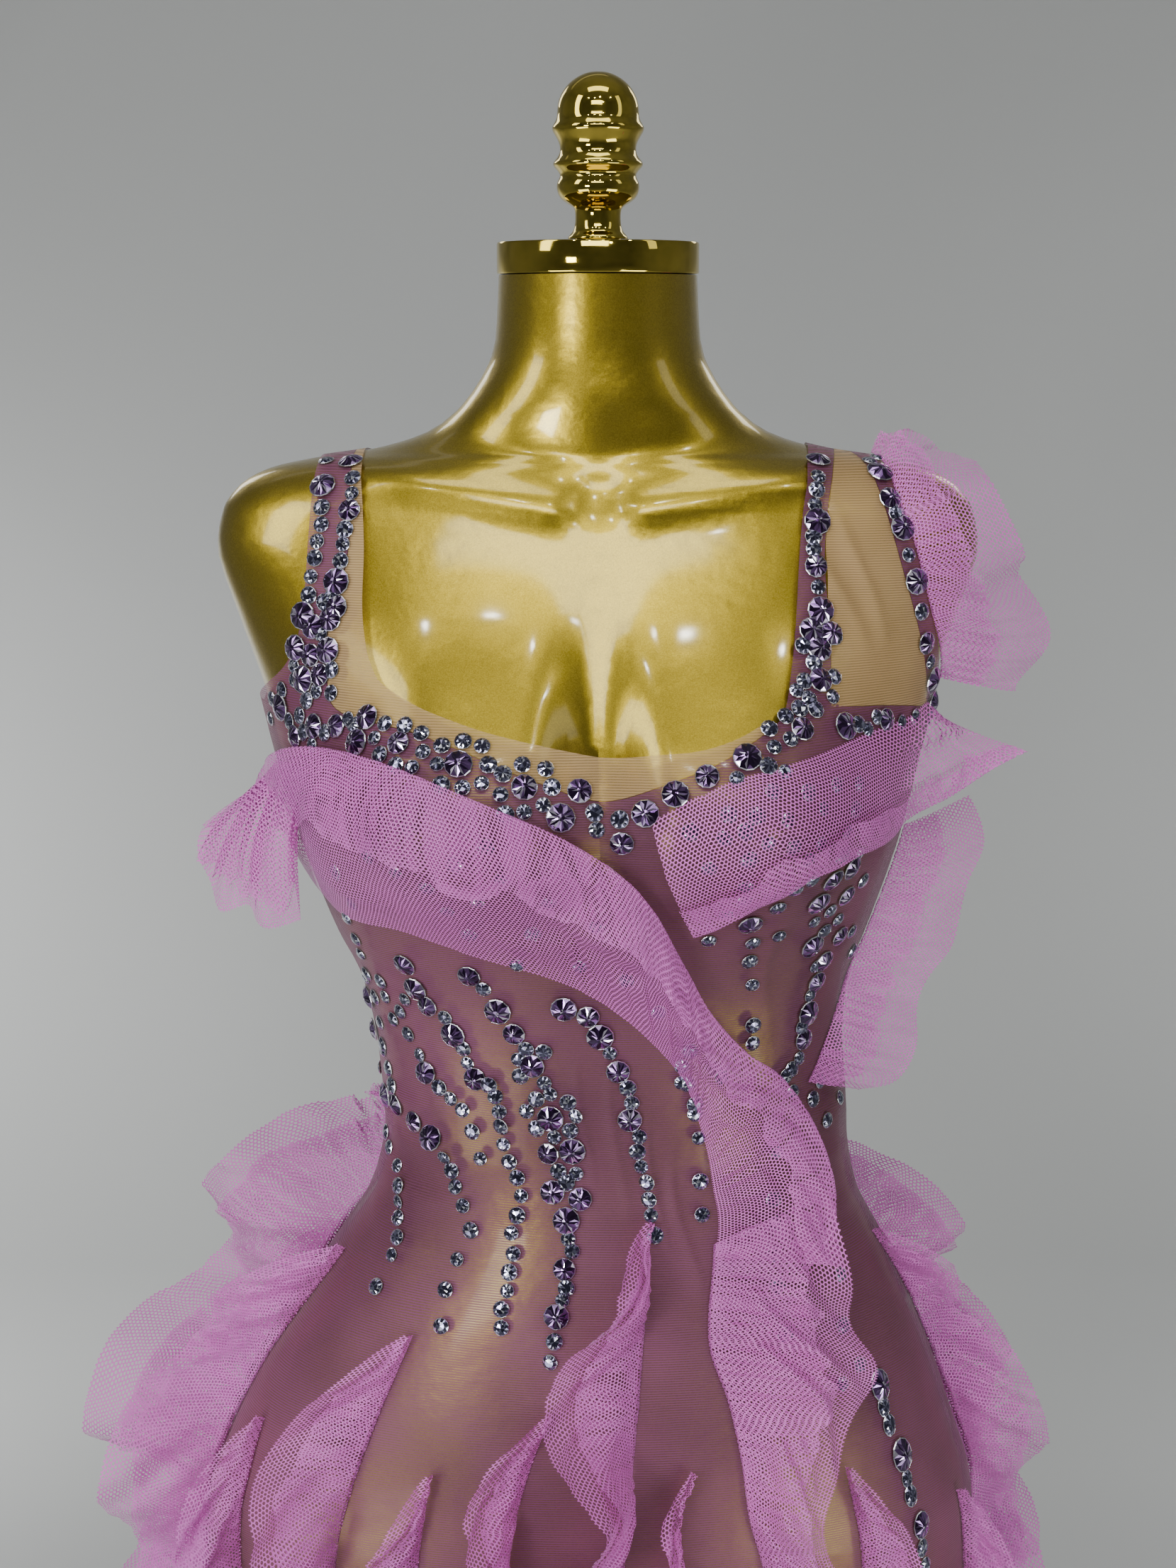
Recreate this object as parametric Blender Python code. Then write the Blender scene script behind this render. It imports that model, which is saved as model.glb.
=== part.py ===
"""A lilac mini dress of sheer stretch mesh with tulle ruffles, on a limbless dress form.

Metres, +Z up. The front of the dress faces -Y and +X is to the viewer's right. The origin is the middle
of the stand's underside. Each sub-part is one named object.
"""
import math
from collections import namedtuple

import bpy
import numpy as np
from mathutils import Vector
from mathutils.bvhtree import BVHTree

MM = 0.001

# Driving dimensions of the dress and the form
WAIST_HEIGHT = 1040 * MM
HEM_HEIGHT = 640 * MM
FORM_BOTTOM = 612 * MM
NECK_TOP = 1482 * MM
FORM_CLEARANCE = 3.0 * MM
BARE_HEIGHT = 1410 * MM
CLOTH_THICKNESS = 1.0 * MM
TULLE_THICKNESS = 1.4 * MM
SEAM_GAP = 0.3 * MM

# Horizontal sections of the dress, in millimetres: height, half width, depth in front of and behind the
# middle, sideways shift of the middle, and how square the section is (2 is an ellipse)
Section = namedtuple("Section", "height half_width front back shift square")
SECTIONS = [
    Section(612, 180, 98, 116, -3, 2.2),
    Section(700, 201, 106, 134, -4, 2.2),
    Section(770, 212, 112, 147, -4, 2.2),
    Section(829, 210, 113, 152, -4, 2.2),
    Section(868, 198, 110, 146, -3, 2.2),
    Section(907, 182, 104, 130, 0, 2.2),
    Section(968, 149, 92, 97, 7, 2.15),
    Section(1005, 129, 83, 79, 9, 2.1),
    Section(1040, 123, 78, 72, 10, 2.1),
    Section(1080, 123, 79, 73, 7, 2.1),
    Section(1120, 128, 84, 79, 4, 2.1),
    Section(1150, 140, 88, 85, 2, 2.15),
    Section(1200, 157, 92, 94, 1, 2.2),
    Section(1245, 168, 90, 99, 0, 2.3),
    Section(1275, 175, 86, 100, 0, 2.35),
    Section(1310, 187, 79, 97, 0, 2.35),
    Section(1346, 198, 70, 88, 0, 2.3),
    Section(1364, 195, 65, 81, 0, 2.2),
    Section(1378, 184, 60, 74, 0, 2.05),
    Section(1386, 168, 57, 69, 0, 1.9),
    Section(1391, 145, 55, 65, 0, 1.75),
    Section(1395, 118, 54, 61, 0, 1.7),
    Section(1404, 88, 53, 57, 0, 1.8),
    Section(1424, 64, 51, 53, 0, 2.0),
    Section(1450, 52, 49, 50, 0, 2.0),
    Section(1482, 50, 49, 49, 0, 2.0),
]
BUST_HEIGHT = 1222 * MM
BUST_APART = 80 * MM
BUST_DEPTH = 47 * MM
BUST_WIDTH = 62 * MM
BUST_ABOVE = 66 * MM
BUST_BELOW = 50 * MM
BUST_BRIDGE = 0.72


def smooth_slopes(values):
    """Slopes at each row of a column that never overshoot between two rows."""
    steps = np.diff(values)
    slopes = np.zeros(len(values))
    same_way = steps[:-1] * steps[1:] > 0
    inner = np.zeros(len(steps) - 1)
    inner[same_way] = 2 * steps[:-1][same_way] * steps[1:][same_way] / (steps[:-1] + steps[1:])[same_way]
    slopes[1:-1] = inner
    slopes[0] = steps[0]
    slopes[-1] = steps[-1]
    return slopes


COLUMNS = np.array(SECTIONS, float)
SLOPES = np.array([smooth_slopes(column) for column in COLUMNS.T]).T


def section_at(row):
    """The section at a fractional row of the table, lengths in metres."""
    first = min(int(row), len(SECTIONS) - 2)
    u = row - first
    start = (1 + 2 * u) * (1 - u) ** 2 * COLUMNS[first] + u * (1 - u) ** 2 * SLOPES[first]
    end = u * u * (3 - 2 * u) * COLUMNS[first + 1] - u * u * (1 - u) * SLOPES[first + 1]
    values = start + end
    return Section(*(values[:5] * MM), values[5])


def soft_step(value):
    value = min(1.0, max(0.0, value))
    return value * value * (3 - 2 * value)


def bust_forward(x, height, bridge):
    """How far the bust stands forward at a place, and how far cloth bridges between its two sides."""
    reach = BUST_ABOVE if height > BUST_HEIGHT else BUST_BELOW
    upward = math.exp(-(((height - BUST_HEIGHT) / reach) ** 2))
    across = math.exp(-(((abs(x) - BUST_APART) / BUST_WIDTH) ** 2))
    if abs(x) < BUST_APART:
        across += bridge * (1 - across)
    return BUST_DEPTH * upward * across


def surface_point(row, angle, bridge):
    """A point of the worn figure at a table row; the angle runs from the front middle, positive to +X."""
    section = section_at(row)
    power = 2 / section.square
    sine, cosine = math.sin(angle), math.cos(angle)
    depth = section.front if cosine > 0 else section.back
    x = section.half_width * math.copysign(abs(sine) ** power, sine)
    y = -depth * math.copysign(abs(cosine) ** power, cosine)
    if cosine > 0:
        y -= soft_step(cosine * 1.6) * bust_forward(x, section.height, bridge)
    return Vector((section.shift + x, y, section.height))


def surface_grid(rows, angles, bridge):
    return [[surface_point(row, angle, bridge) for angle in angles] for row in rows]


def full_turn(count):
    return [2 * math.pi * k / count - math.pi for k in range(count)]


def faces_round(n_rows, n_columns):
    """Quads of a grid that closes on itself sideways."""
    return [
        (j * n_columns + i, j * n_columns + (i + 1) % n_columns,
         (j + 1) * n_columns + (i + 1) % n_columns, (j + 1) * n_columns + i)
        for j in range(n_rows - 1) for i in range(n_columns)
    ]


FINE_ROWS = np.linspace(0, len(SECTIONS) - 1, 176)
fine_grid = surface_grid(FINE_ROWS, full_turn(144), BUST_BRIDGE)
DRESS_SURFACE = BVHTree.FromPolygons(
    [point for ring in fine_grid for point in ring], faces_round(len(FINE_ROWS), 144))


def front_point(x, height):
    """The point of the worn cloth that is seen at x and a height from the front."""
    return DRESS_SURFACE.ray_cast(Vector((x, -1, height)), Vector((0, 1, 0)))[0]


# Small tools for the cloth, all lengths in metres and angles in degrees
GridRow = namedtuple("GridRow", "lift left_armhole left_border left_neck right_neck insert_left insert_right armhole")
SHOULDER_LEVEL = 1300
SHOULDER_AXIS = 5


def around(angle, height, off=0.0):
    """A place over the worn cloth, seen from the upright axis; millimetres, angle from the front."""
    turn = math.radians(angle)
    outward = Vector((math.sin(turn), -math.cos(turn), 0))
    place, normal, _, _ = DRESS_SURFACE.ray_cast(Vector((0, 0, height * MM)), outward)
    return place + normal * off * MM


def over_shoulder(x, lift):
    """A place on the worn cloth over a shoulder; lift 0 is level to the front, 90 is the shoulder seam."""
    tilt = math.radians(lift)
    start = Vector((x * MM, SHOULDER_AXIS * MM, SHOULDER_LEVEL * MM))
    return DRESS_SURFACE.ray_cast(start, Vector((0, -math.cos(tilt), math.sin(tilt))))[0]


def settle(point, off=0.0):
    """The nearest place on the worn cloth, raised by off."""
    place, normal, _, _ = DRESS_SURFACE.find_nearest(point)
    return place + normal * off


def clear_of(point, least):
    """The point itself, or the nearest one that stands clear of the worn cloth."""
    place, normal, _, _ = DRESS_SURFACE.find_nearest(point)
    height = (point - place).dot(normal)
    if height >= least:
        return point
    return point + normal * (least - height)


def mix(first, second, share):
    return first + (second - first) * share


def curve_through(points, count):
    """Evenly stepped places on a smooth line through the points."""
    points = [Vector(point) for point in points]
    places = []
    for k in range(count):
        at = k * (len(points) - 1) / (count - 1)
        i = min(int(at), len(points) - 2)
        u = at - i
        before, start, end, after = (points[max(i - 1, 0)], points[i], points[i + 1],
                                     points[min(i + 2, len(points) - 1)])
        places.append(0.5 * (2 * start + (end - before) * u
                             + (2 * before - 5 * start + 4 * end - after) * u ** 2
                             + (3 * start - before - 3 * end + after) * u ** 3))
    return places


def plain_material(name, colour, metallic=0.0, roughness=0.6, alpha=1.0):
    material = bpy.data.materials.new(name)
    material.use_nodes = True
    shader = material.node_tree.nodes["Principled BSDF"]
    shader.inputs["Base Color"].default_value = (*colour, 1)
    shader.inputs["Metallic"].default_value = metallic
    shader.inputs["Roughness"].default_value = roughness
    shader.inputs["Alpha"].default_value = alpha
    material.diffuse_color = (*colour, alpha)
    return material


def add_object(name, points, faces, material):
    mesh = bpy.data.meshes.new(name)
    mesh.from_pydata([tuple(point) for point in points], [], faces)
    mesh.materials.append(material)
    made = bpy.data.objects.new(name, mesh)
    bpy.context.scene.collection.objects.link(made)
    return made


def ragged_grid(columns):
    """Points and quads of neighbouring columns that may differ in length."""
    starts = np.cumsum([0] + [len(column) for column in columns])
    points = [point for column in columns for point in column]
    faces = []
    for i in range(len(columns) - 1):
        for j in range(min(len(columns[i]), len(columns[i + 1])) - 1):
            left, right = int(starts[i]) + j, int(starts[i + 1]) + j
            faces.append((left, right, right + 1, left + 1))
    return points, faces


def point_normals(points, faces):
    normals = [Vector() for _ in points]
    for face in faces:
        a, b, c, d = (points[k] for k in face)
        normal = (c - a).cross(d - b)
        for k in face:
            normals[k] += normal
    return [normal.normalized() for normal in normals]


def cloth_solid(name, points, faces, normals, below, above, material):
    """One closed body of cloth: the sheet moved down by below and up by above, with its cut edges.

    Each quad is split along the same diagonal on both sides, so that the two sides of a twisted stretch
    never cross.
    """
    count = len(points)
    bottom = [point - normal * below for point, normal in zip(points, normals)]
    top = [point + normal * above for point, normal in zip(points, normals)]
    sides = {}
    for face in faces:
        for k in range(4):
            sides[(face[k], face[(k + 1) % 4])] = True
    edges = [(a, b) for a, b in sides if (b, a) not in sides]
    shell = [(b + count, a + count, a, b) for a, b in edges]
    for a, b, c, d in faces:
        shell += [(a + count, b + count, c + count), (a + count, c + count, d + count)]
        shell += [(c, b, a), (d, c, a)]
    return add_object(name, bottom + top, shell, material)


outside_points = []
outside_faces = []


def worn_panel(name, columns, material):
    """A panel that lies on the figure: its inner side is the worn surface, its outer side is kept for trims."""
    points, faces = ragged_grid(columns)
    normals = [DRESS_SURFACE.find_nearest(point)[1] for point in points]
    first = len(outside_points)
    outside_points.extend(point + normal * CLOTH_THICKNESS for point, normal in zip(points, normals))
    outside_faces.extend(tuple(first + k for k in face) for face in faces)
    return cloth_solid(name, points, faces, normals, 0.0, CLOTH_THICKNESS, material)


def hanging_sheet(name, columns, material):
    """A free piece of tulle, half its thickness to each side."""
    points, faces = ragged_grid(columns)
    half = TULLE_THICKNESS / 2
    return cloth_solid(name, points, faces, point_normals(points, faces), half, half, material)


def turned(name, profile, count, material, centre=(0, 0)):
    """A solid of revolution: (radius, height) in millimetres, from the axis below to the axis above."""
    points = []
    faces = []
    (_, bottom), (_, top) = profile[0], profile[-1]
    rings = profile[1:-1]
    for radius, height in rings:
        for k in range(count):
            turn = 2 * math.pi * k / count
            points.append(Vector((centre[0] + radius * math.cos(turn), centre[1] + radius * math.sin(turn),
                                  height)) * MM)
    faces += faces_round(len(rings), count)
    low, high = len(points), len(points) + 1
    points += [Vector((*centre, bottom)) * MM, Vector((*centre, top)) * MM]
    last = (len(rings) - 1) * count
    faces += [(low, (k + 1) % count, k) for k in range(count)]
    faces += [(high, last + k, last + (k + 1) % count) for k in range(count)]
    return add_object(name, points, faces, material)


for old in list(bpy.data.objects):
    bpy.data.objects.remove(old, do_unlink=True)

GOLD_PAINT = plain_material("gold_paint", (0.62, 0.42, 0.09), 0.85, 0.32)
GOLD_PLATE = plain_material("gold_plate", (0.83, 0.62, 0.2), 1.0, 0.12)
LILAC_MESH = plain_material("lilac_mesh", (0.46, 0.2, 0.31), 0.0, 0.7)
NUDE_MESH = plain_material("nude_mesh", (0.72, 0.5, 0.3), 0.0, 0.7)
LILAC_TULLE = plain_material("lilac_tulle", (0.62, 0.22, 0.55), 0.0, 0.8)

# The form: a smooth limbless figure of painted resin, closed above and below
FORM_RINGS = 30
FORM_COLUMNS = 30
form_rows = np.linspace(0, len(SECTIONS) - 1, FORM_RINGS)
form_grid = surface_grid(form_rows, full_turn(FORM_COLUMNS), 0.0)


def under_cloth(grid, j, i):
    """A grid point moved in along its own normal, by less and less above the shoulders."""
    lower, upper = grid[max(j - 1, 0)][i], grid[min(j + 1, len(grid) - 1)][i]
    left, right = grid[j][i - 1], grid[j][(i + 1) % len(grid[j])]
    outward = (right - left).cross(upper - lower).normalized()
    bare = soft_step((grid[j][i].z - BARE_HEIGHT) / (30 * MM) + 0.5)
    return grid[j][i] - outward * FORM_CLEARANCE * (1 - bare)


form_points = [under_cloth(form_grid, j, i) for j in range(FORM_RINGS) for i in range(FORM_COLUMNS)]
form_faces = faces_round(FORM_RINGS, FORM_COLUMNS)
form_points += [Vector((0, 0.01, FORM_BOTTOM)), Vector((0, 0, NECK_TOP))]
last_ring = (FORM_RINGS - 1) * FORM_COLUMNS
for k in range(FORM_COLUMNS):
    following = (k + 1) % FORM_COLUMNS
    form_faces.append((len(form_points) - 2, following, k))
    form_faces.append((len(form_points) - 1, last_ring + k, last_ring + following))
add_object("form_torso", form_points, form_faces, GOLD_PAINT)

# The gold neck cap and the turned finial on it, the pole below and its round foot
turned("neck_cap", [(0, 1482.3), (49.5, 1482.3), (51, 1483.2), (51, 1497.2), (49.8, 1498.3), (0, 1498.3)],
       32, GOLD_PLATE)
FINIAL = [
    (0, 1498.6), (15, 1498.6), (15.5, 1500.5), (13.5, 1502.5), (11.5, 1505), (11.2, 1514), (13, 1516),
    (19, 1519), (21, 1524), (20.6, 1528), (18, 1531), (22.5, 1535), (22.8, 1537), (18.6, 1541), (19.2, 1547),
    (23, 1552), (23.2, 1554.5), (20.2, 1558), (20.6, 1564), (18.4, 1571), (13, 1577), (6.5, 1580.3), (0, 1581),
]
turned("finial", FINIAL, 16, GOLD_PLATE)
turned("pole", [(0, 16.3), (16, 16.3), (16, 30), (13, 34), (13, 611.7), (0, 611.7)], 20, GOLD_PLATE, (0, 10))
turned("base", [(0, 0), (158, 0), (160, 2), (160, 8), (156, 12), (40, 16), (0, 16)], 32, GOLD_PLATE)

# The front panel of stretch mesh: where each column ends above, from one side seam to the other
TopPoint = namedtuple("TopPoint", "angle height")
FRONT_TOP = [
    TopPoint(-90, 1266), TopPoint(-84, 1272), TopPoint(-78, 1279), TopPoint(-72, 1288), TopPoint(-66, 1281),
    TopPoint(-60, 1274), TopPoint(-53, 1270), TopPoint(-47, 1269), TopPoint(-40, 1267), TopPoint(-34, 1263),
    TopPoint(-27, 1258), TopPoint(-21, 1252), TopPoint(-15, 1247), TopPoint(-10, 1243), TopPoint(-5, 1239),
    TopPoint(0, 1236), TopPoint(6, 1238), TopPoint(11, 1242), TopPoint(17, 1247), TopPoint(22, 1251),
    TopPoint(27, 1256), TopPoint(32, 1262), TopPoint(37, 1268), TopPoint(41, 1274), TopPoint(46, 1275),
    TopPoint(51, 1276), TopPoint(57, 1275), TopPoint(63, 1274), TopPoint(69, 1272), TopPoint(74, 1270),
    TopPoint(78, 1268), TopPoint(84, 1268), TopPoint(90, 1266),
]
FRONT_ROWS = [640, 680, 720, 760, 798, 834, 868, 900, 930, 960, 990, 1020, 1050, 1082, 1114, 1142, 1166, 1187,
              1206, 1223, 1238]
SHOULDER_ROWS = [
    GridRow(0, -149, -133, -112, 94, 113, 161, 170),
    GridRow(12, -146, -132, -115, 96, 112, 158, 167),
    GridRow(24, -144, -126, -115, 97, 111, 154, 163),
    GridRow(36, -143, -122, -114, 98, 110, 149, 160),
    GridRow(48, -142, -121, -115, 100, 112, 144, 156),
    GridRow(58, -141, -122, -116, 102, 114, 139, 149),
    GridRow(68, -140, -122, -117, 104, 117, 134, 144),
    GridRow(78, -140, -123, -118, 106, 119, 130, 141),
    GridRow(90, -140, -123, -118, 106, 120, 128, 139),
]
LEFT_STRAP = (3, 5)
NECK_STRIP = (23, 25)
ARMHOLE_STRIP = (30, 31)
BAND_COLUMNS = range(6, 23)
INSERT_COLUMNS = range(25, 31)
HALF_GAP = Vector((0, SEAM_GAP / 2, 0))


def body_column(top, low_angle, rows, side_step):
    """A column of a panel from the hem up to its top place."""
    share_up = [(height - rows[0]) / (1250 - rows[0]) for height in rows]
    column = []
    for share in share_up:
        height = rows[0] + (top.height - rows[0]) * share / share_up[-1] * 0.975
        angle = low_angle + (top.angle - low_angle) * share
        column.append(around(angle, height) + side_step)
    column.append(around(top.angle, top.height) + side_step)
    return column


def strap_columns(body, first, last, edges, crest_step):
    """Carries some columns on over the shoulder, with x between the two edges at each lift."""
    for k in range(first, last + 1):
        share = (k - first) / (last - first)
        rows = [over_shoulder(mix(near, far, share), lift) for lift, near, far in edges]
        rows[-1] = rows[-1] + crest_step
        body[k].append(settle((body[k][-1] + rows[0]) / 2))
        body[k].extend(rows)


front = []
for k, top in enumerate(FRONT_TOP):
    side_step = -HALF_GAP if k in (0, len(FRONT_TOP) - 1) else Vector()
    front.append(body_column(top, -90 + 180 * k / (len(FRONT_TOP) - 1), FRONT_ROWS, side_step))
body_top = len(FRONT_ROWS)
strap_columns(front, *LEFT_STRAP, [(row.lift, row.left_armhole, row.left_border) for row in SHOULDER_ROWS],
              -HALF_GAP)
strap_columns(front, *NECK_STRIP, [(row.lift, row.right_neck, row.insert_left) for row in SHOULDER_ROWS],
              -HALF_GAP)
strap_columns(front, *ARMHOLE_STRIP, [(row.lift, row.insert_right, row.armhole) for row in SHOULDER_ROWS],
              -HALF_GAP)
worn_panel("dress_front", front, LILAC_MESH)

# The nude band that follows the neckline, its inner edge by angle and height
NECK_EDGE = [
    TopPoint(-50, 1287), TopPoint(-46, 1283), TopPoint(-40, 1277), TopPoint(-34, 1273), TopPoint(-27, 1268),
    TopPoint(-21, 1265), TopPoint(-15, 1262), TopPoint(-10, 1260), TopPoint(-5, 1258), TopPoint(0, 1256),
    TopPoint(6, 1256), TopPoint(11, 1257), TopPoint(17, 1258), TopPoint(22, 1259), TopPoint(27, 1262),
    TopPoint(32, 1266), TopPoint(37, 1272),
]
border = [front[LEFT_STRAP[1]][j] for j in range(len(front[LEFT_STRAP[1]]) - 1, body_top - 1, -1)]
border += [front[k][body_top] for k in BAND_COLUMNS]
neck_edge = [over_shoulder(row.left_neck, row.lift) for row in reversed(SHOULDER_ROWS)]
neck_edge[0] = neck_edge[0] - HALF_GAP
neck_edge += [around(-54, 1297), around(-52, 1291)]
neck_edge += [around(*place) for place in NECK_EDGE]
band = []
for outer, inner in zip(border, neck_edge):
    start = outer + (inner - outer).normalized() * SEAM_GAP
    band.append([start, settle((start + inner) / 2), inner])
worn_panel("neck_band", band, NUDE_MESH)

# The nude insert between the two lilac strips of the right shoulder
insert = []
for k in INSERT_COLUMNS:
    share = (k - INSERT_COLUMNS[0]) / (len(INSERT_COLUMNS) - 1)
    sideways = Vector((SEAM_GAP * (1 - 2 * share), 0, 0))
    column = [front[k][body_top] + Vector((0, 0, SEAM_GAP)) + sideways]
    over = [over_shoulder(mix(row.insert_left, row.insert_right, share), row.lift) + sideways
            for row in SHOULDER_ROWS]
    over[-1] = over[-1] - HALF_GAP
    insert.append(column + [settle((column[0] + over[0]) / 2)] + over)
worn_panel("shoulder_insert", insert, NUDE_MESH)

# The plain back panel with its two straps, a round scoop between them
BACK_TOP = [
    TopPoint(90, 1266), TopPoint(98, 1272), TopPoint(106, 1280), TopPoint(113, 1290), TopPoint(120, 1290),
    TopPoint(127, 1289), TopPoint(135, 1281), TopPoint(144, 1274), TopPoint(153, 1268), TopPoint(162, 1264),
    TopPoint(171, 1262), TopPoint(180, 1261), TopPoint(189, 1262), TopPoint(198, 1264), TopPoint(207, 1268),
    TopPoint(216, 1274), TopPoint(225, 1281), TopPoint(233, 1289), TopPoint(240, 1290), TopPoint(247, 1290),
    TopPoint(254, 1280), TopPoint(262, 1272), TopPoint(270, 1266),
]
BACK_ROWS = [640, 684, 728, 772, 812, 850, 886, 922, 956, 990, 1024, 1058, 1092, 1128, 1164, 1200, 1232]
BACK_LIFTS = [172, 160, 148, 136, 124, 114, 106, 98, 90]


def back_strap_edges(near_low, near_crest, far_low, far_crest):
    edges = []
    for k, lift in enumerate(BACK_LIFTS):
        share = k / (len(BACK_LIFTS) - 1)
        edges.append((lift, mix(near_low, near_crest, share), mix(far_low, far_crest, share)))
    return edges


back = []
for k, top in enumerate(BACK_TOP):
    side_step = HALF_GAP if k in (0, len(BACK_TOP) - 1) else Vector()
    back.append(body_column(top, 90 + 180 * k / (len(BACK_TOP) - 1), BACK_ROWS, side_step))
strap_columns(back, 3, 5, back_strap_edges(149, 139, 112, 106), HALF_GAP)
strap_columns(back, 17, 19, back_strap_edges(-112, -118, -149, -140), HALF_GAP)
worn_panel("dress_back", back, LILAC_MESH)

# Tulle ruffles laid over the bodice: two edges in millimetres, the sewn one second
SEAT = TULLE_THICKNESS / 2 + SEAM_GAP + 0.05 * MM
FREE_OFF = 6.0 * MM
OUTSIDE = BVHTree.FromPolygons(outside_points, outside_faces)


def height_over_cloth(point):
    place, normal, _, _ = OUTSIDE.find_nearest(point)
    return (point - place).dot(normal)


def seat_line(points):
    """Lays a sewn edge on the panels, each stretch of it just clear of the cloth below."""
    seated = []
    for point in points:
        place, normal, _, _ = OUTSIDE.find_nearest(point)
        seated.append(place + normal * SEAT)
    for _ in range(12):
        lifts = [0.0] * len(seated)
        for k in range(len(seated) - 1):
            lowest = min(height_over_cloth(mix(seated[k], seated[k + 1], share / 8)) for share in range(9))
            for end in (k, k + 1):
                lifts[end] = max(lifts[end], SEAT - lowest)
        for k, lift in enumerate(lifts):
            if lift > 0:
                seated[k] = seated[k] + OUTSIDE.find_nearest(seated[k])[1] * lift
    return seated


def ruffle(name, free_edge, sewn_edge, along, across, bulge=0.0, ripple=0.0, waves=0.0):
    """Tulle between two edges, bowed outward by bulge and rippled towards its free edge."""
    free_line = curve_through([Vector(point) * MM for point in free_edge], along + 1)
    sewn_line = seat_line(curve_through([Vector(point) * MM for point in sewn_edge], along + 1))
    columns = []
    for k, (free, sewn) in enumerate(zip(free_line, sewn_line)):
        wave = ripple * MM * math.sin(2 * math.pi * waves * k / along)
        column = []
        for j in range(across + 1):
            share = j / across
            point = mix(free, sewn, share)
            outward = DRESS_SURFACE.find_nearest(point)[1]
            point = point + outward * (bulge * MM * math.sin(math.pi * share) + wave * (1 - share))
            column.append(sewn if j == across else clear_of(point, FREE_OFF))
        columns.append(column)
    return hanging_sheet(name, columns, LILAC_TULLE)


SASH_FREE = [
    (-179, -5, 1222), (-167, -30, 1240), (-151, -62, 1252), (-130, -95, 1257), (-109, -116, 1256),
    (-86, -132, 1251), (-65, -138, 1243), (-45, -140, 1235), (-23, -138, 1225), (-1, -134, 1212),
    (17, -129, 1197), (31, -117, 1175), (43, -105, 1150), (55, -98, 1126), (73, -91, 1104),
    (93, -83, 1087), (110, -74, 1061), (120, -69, 1029), (123, -76, 1003), (127, -80, 985),
]
SASH_SEWN = [
    (-192, 5, 1180), (-179, -15, 1161), (-158, -40, 1161), (-136, -55, 1159), (-106, -87, 1157),
    (-78, -96, 1150), (-51, -100, 1143), (-24, -103, 1136), (-3, -102, 1127), (16, -99, 1114),
    (32, -94, 1099), (42, -88, 1087), (47, -81, 1076), (51, -77, 1062), (55, -75, 1047),
    (57, -75, 1037), (59, -76, 1024), (61, -77, 1013), (61, -79, 1002), (59, -82, 992),
]
ruffle("sash_ruffle", SASH_FREE, SASH_SEWN, 46, 5, bulge=5, ripple=1.5, waves=7)

TAIL_FREE = [
    (128, -82, 979), (133, -90, 958), (139, -88, 937), (136, -96, 919), (124, -112, 893), (112, -124, 874),
    (118, -126, 850), (128, -124, 820), (118, -130, 785), (106, -134, 750), (118, -132, 715),
    (126, -126, 680), (118, -126, 652),
]
TAIL_SEWN = [
    (58, -84, 985), (56, -90, 965), (57, -94, 945), (66, -98, 920), (73, -103, 890), (77, -106, 860),
    (84, -106, 833), (87, -106, 805), (86, -106, 775), (84, -106, 745), (86, -106, 715), (90, -104, 680),
    (92, -102, 652),
]
ruffle("sash_tail", TAIL_FREE, TAIL_SEWN, 32, 4, bulge=9, ripple=7, waves=5)

BUST_FREE = [
    (46, -112, 1167), (63, -116, 1176), (83, -119, 1186), (104, -118, 1198), (124, -99, 1204),
    (146, -67, 1208), (162, -57, 1218), (179, -50, 1226), (198, -44, 1235), (218, -38, 1245),
]
BUST_SEWN = [
    (24, -137, 1230), (43, -138, 1241), (61, -135, 1250), (84, -128, 1255), (107, -112, 1258),
    (132, -88, 1263), (157, -59, 1266), (175, -46, 1269), (193, -41, 1263), (214, -36, 1251),
]
ruffle("bust_ruffle", BUST_FREE, BUST_SEWN, 18, 4, bulge=4, ripple=1.5, waves=3)

SIDE_FREE = [
    (196, 5, 1214), (202, 0, 1189), (198, -5, 1167), (188, -5, 1142), (179, -10, 1124), (171, -15, 1102),
    (165, -20, 1082), (158, -26, 1066), (136, -44, 1068),
]
SIDE_SEWN = [
    (158, -20, 1204), (151, -22, 1184), (146, -23, 1169), (141, -24, 1156), (134, -26, 1138),
    (127, -29, 1118), (120, -36, 1100), (114, -43, 1085), (108, -49, 1074),
]
ruffle("side_ruffle", SIDE_FREE, SIDE_SEWN, 16, 3, bulge=3, ripple=3, waves=3)

SHOULDER_FREE = [
    (150, 8, 1403), (172, 5, 1397), (185, -5, 1381), (195, -10, 1357), (216, -12, 1335), (229, -12, 1309),
    (227, -12, 1287), (216, -10, 1272),
]
SHOULDER_SEWN = [
    (139, -2, 1393), (143, -24, 1389), (148, -42, 1373), (156, -49, 1353), (161, -50, 1335),
    (166, -48, 1318), (171, -40, 1300), (177, -28, 1282),
]
ruffle("shoulder_ruffle", SHOULDER_FREE, SHOULDER_SEWN, 16, 3, bulge=5, ripple=3, waves=3)

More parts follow.
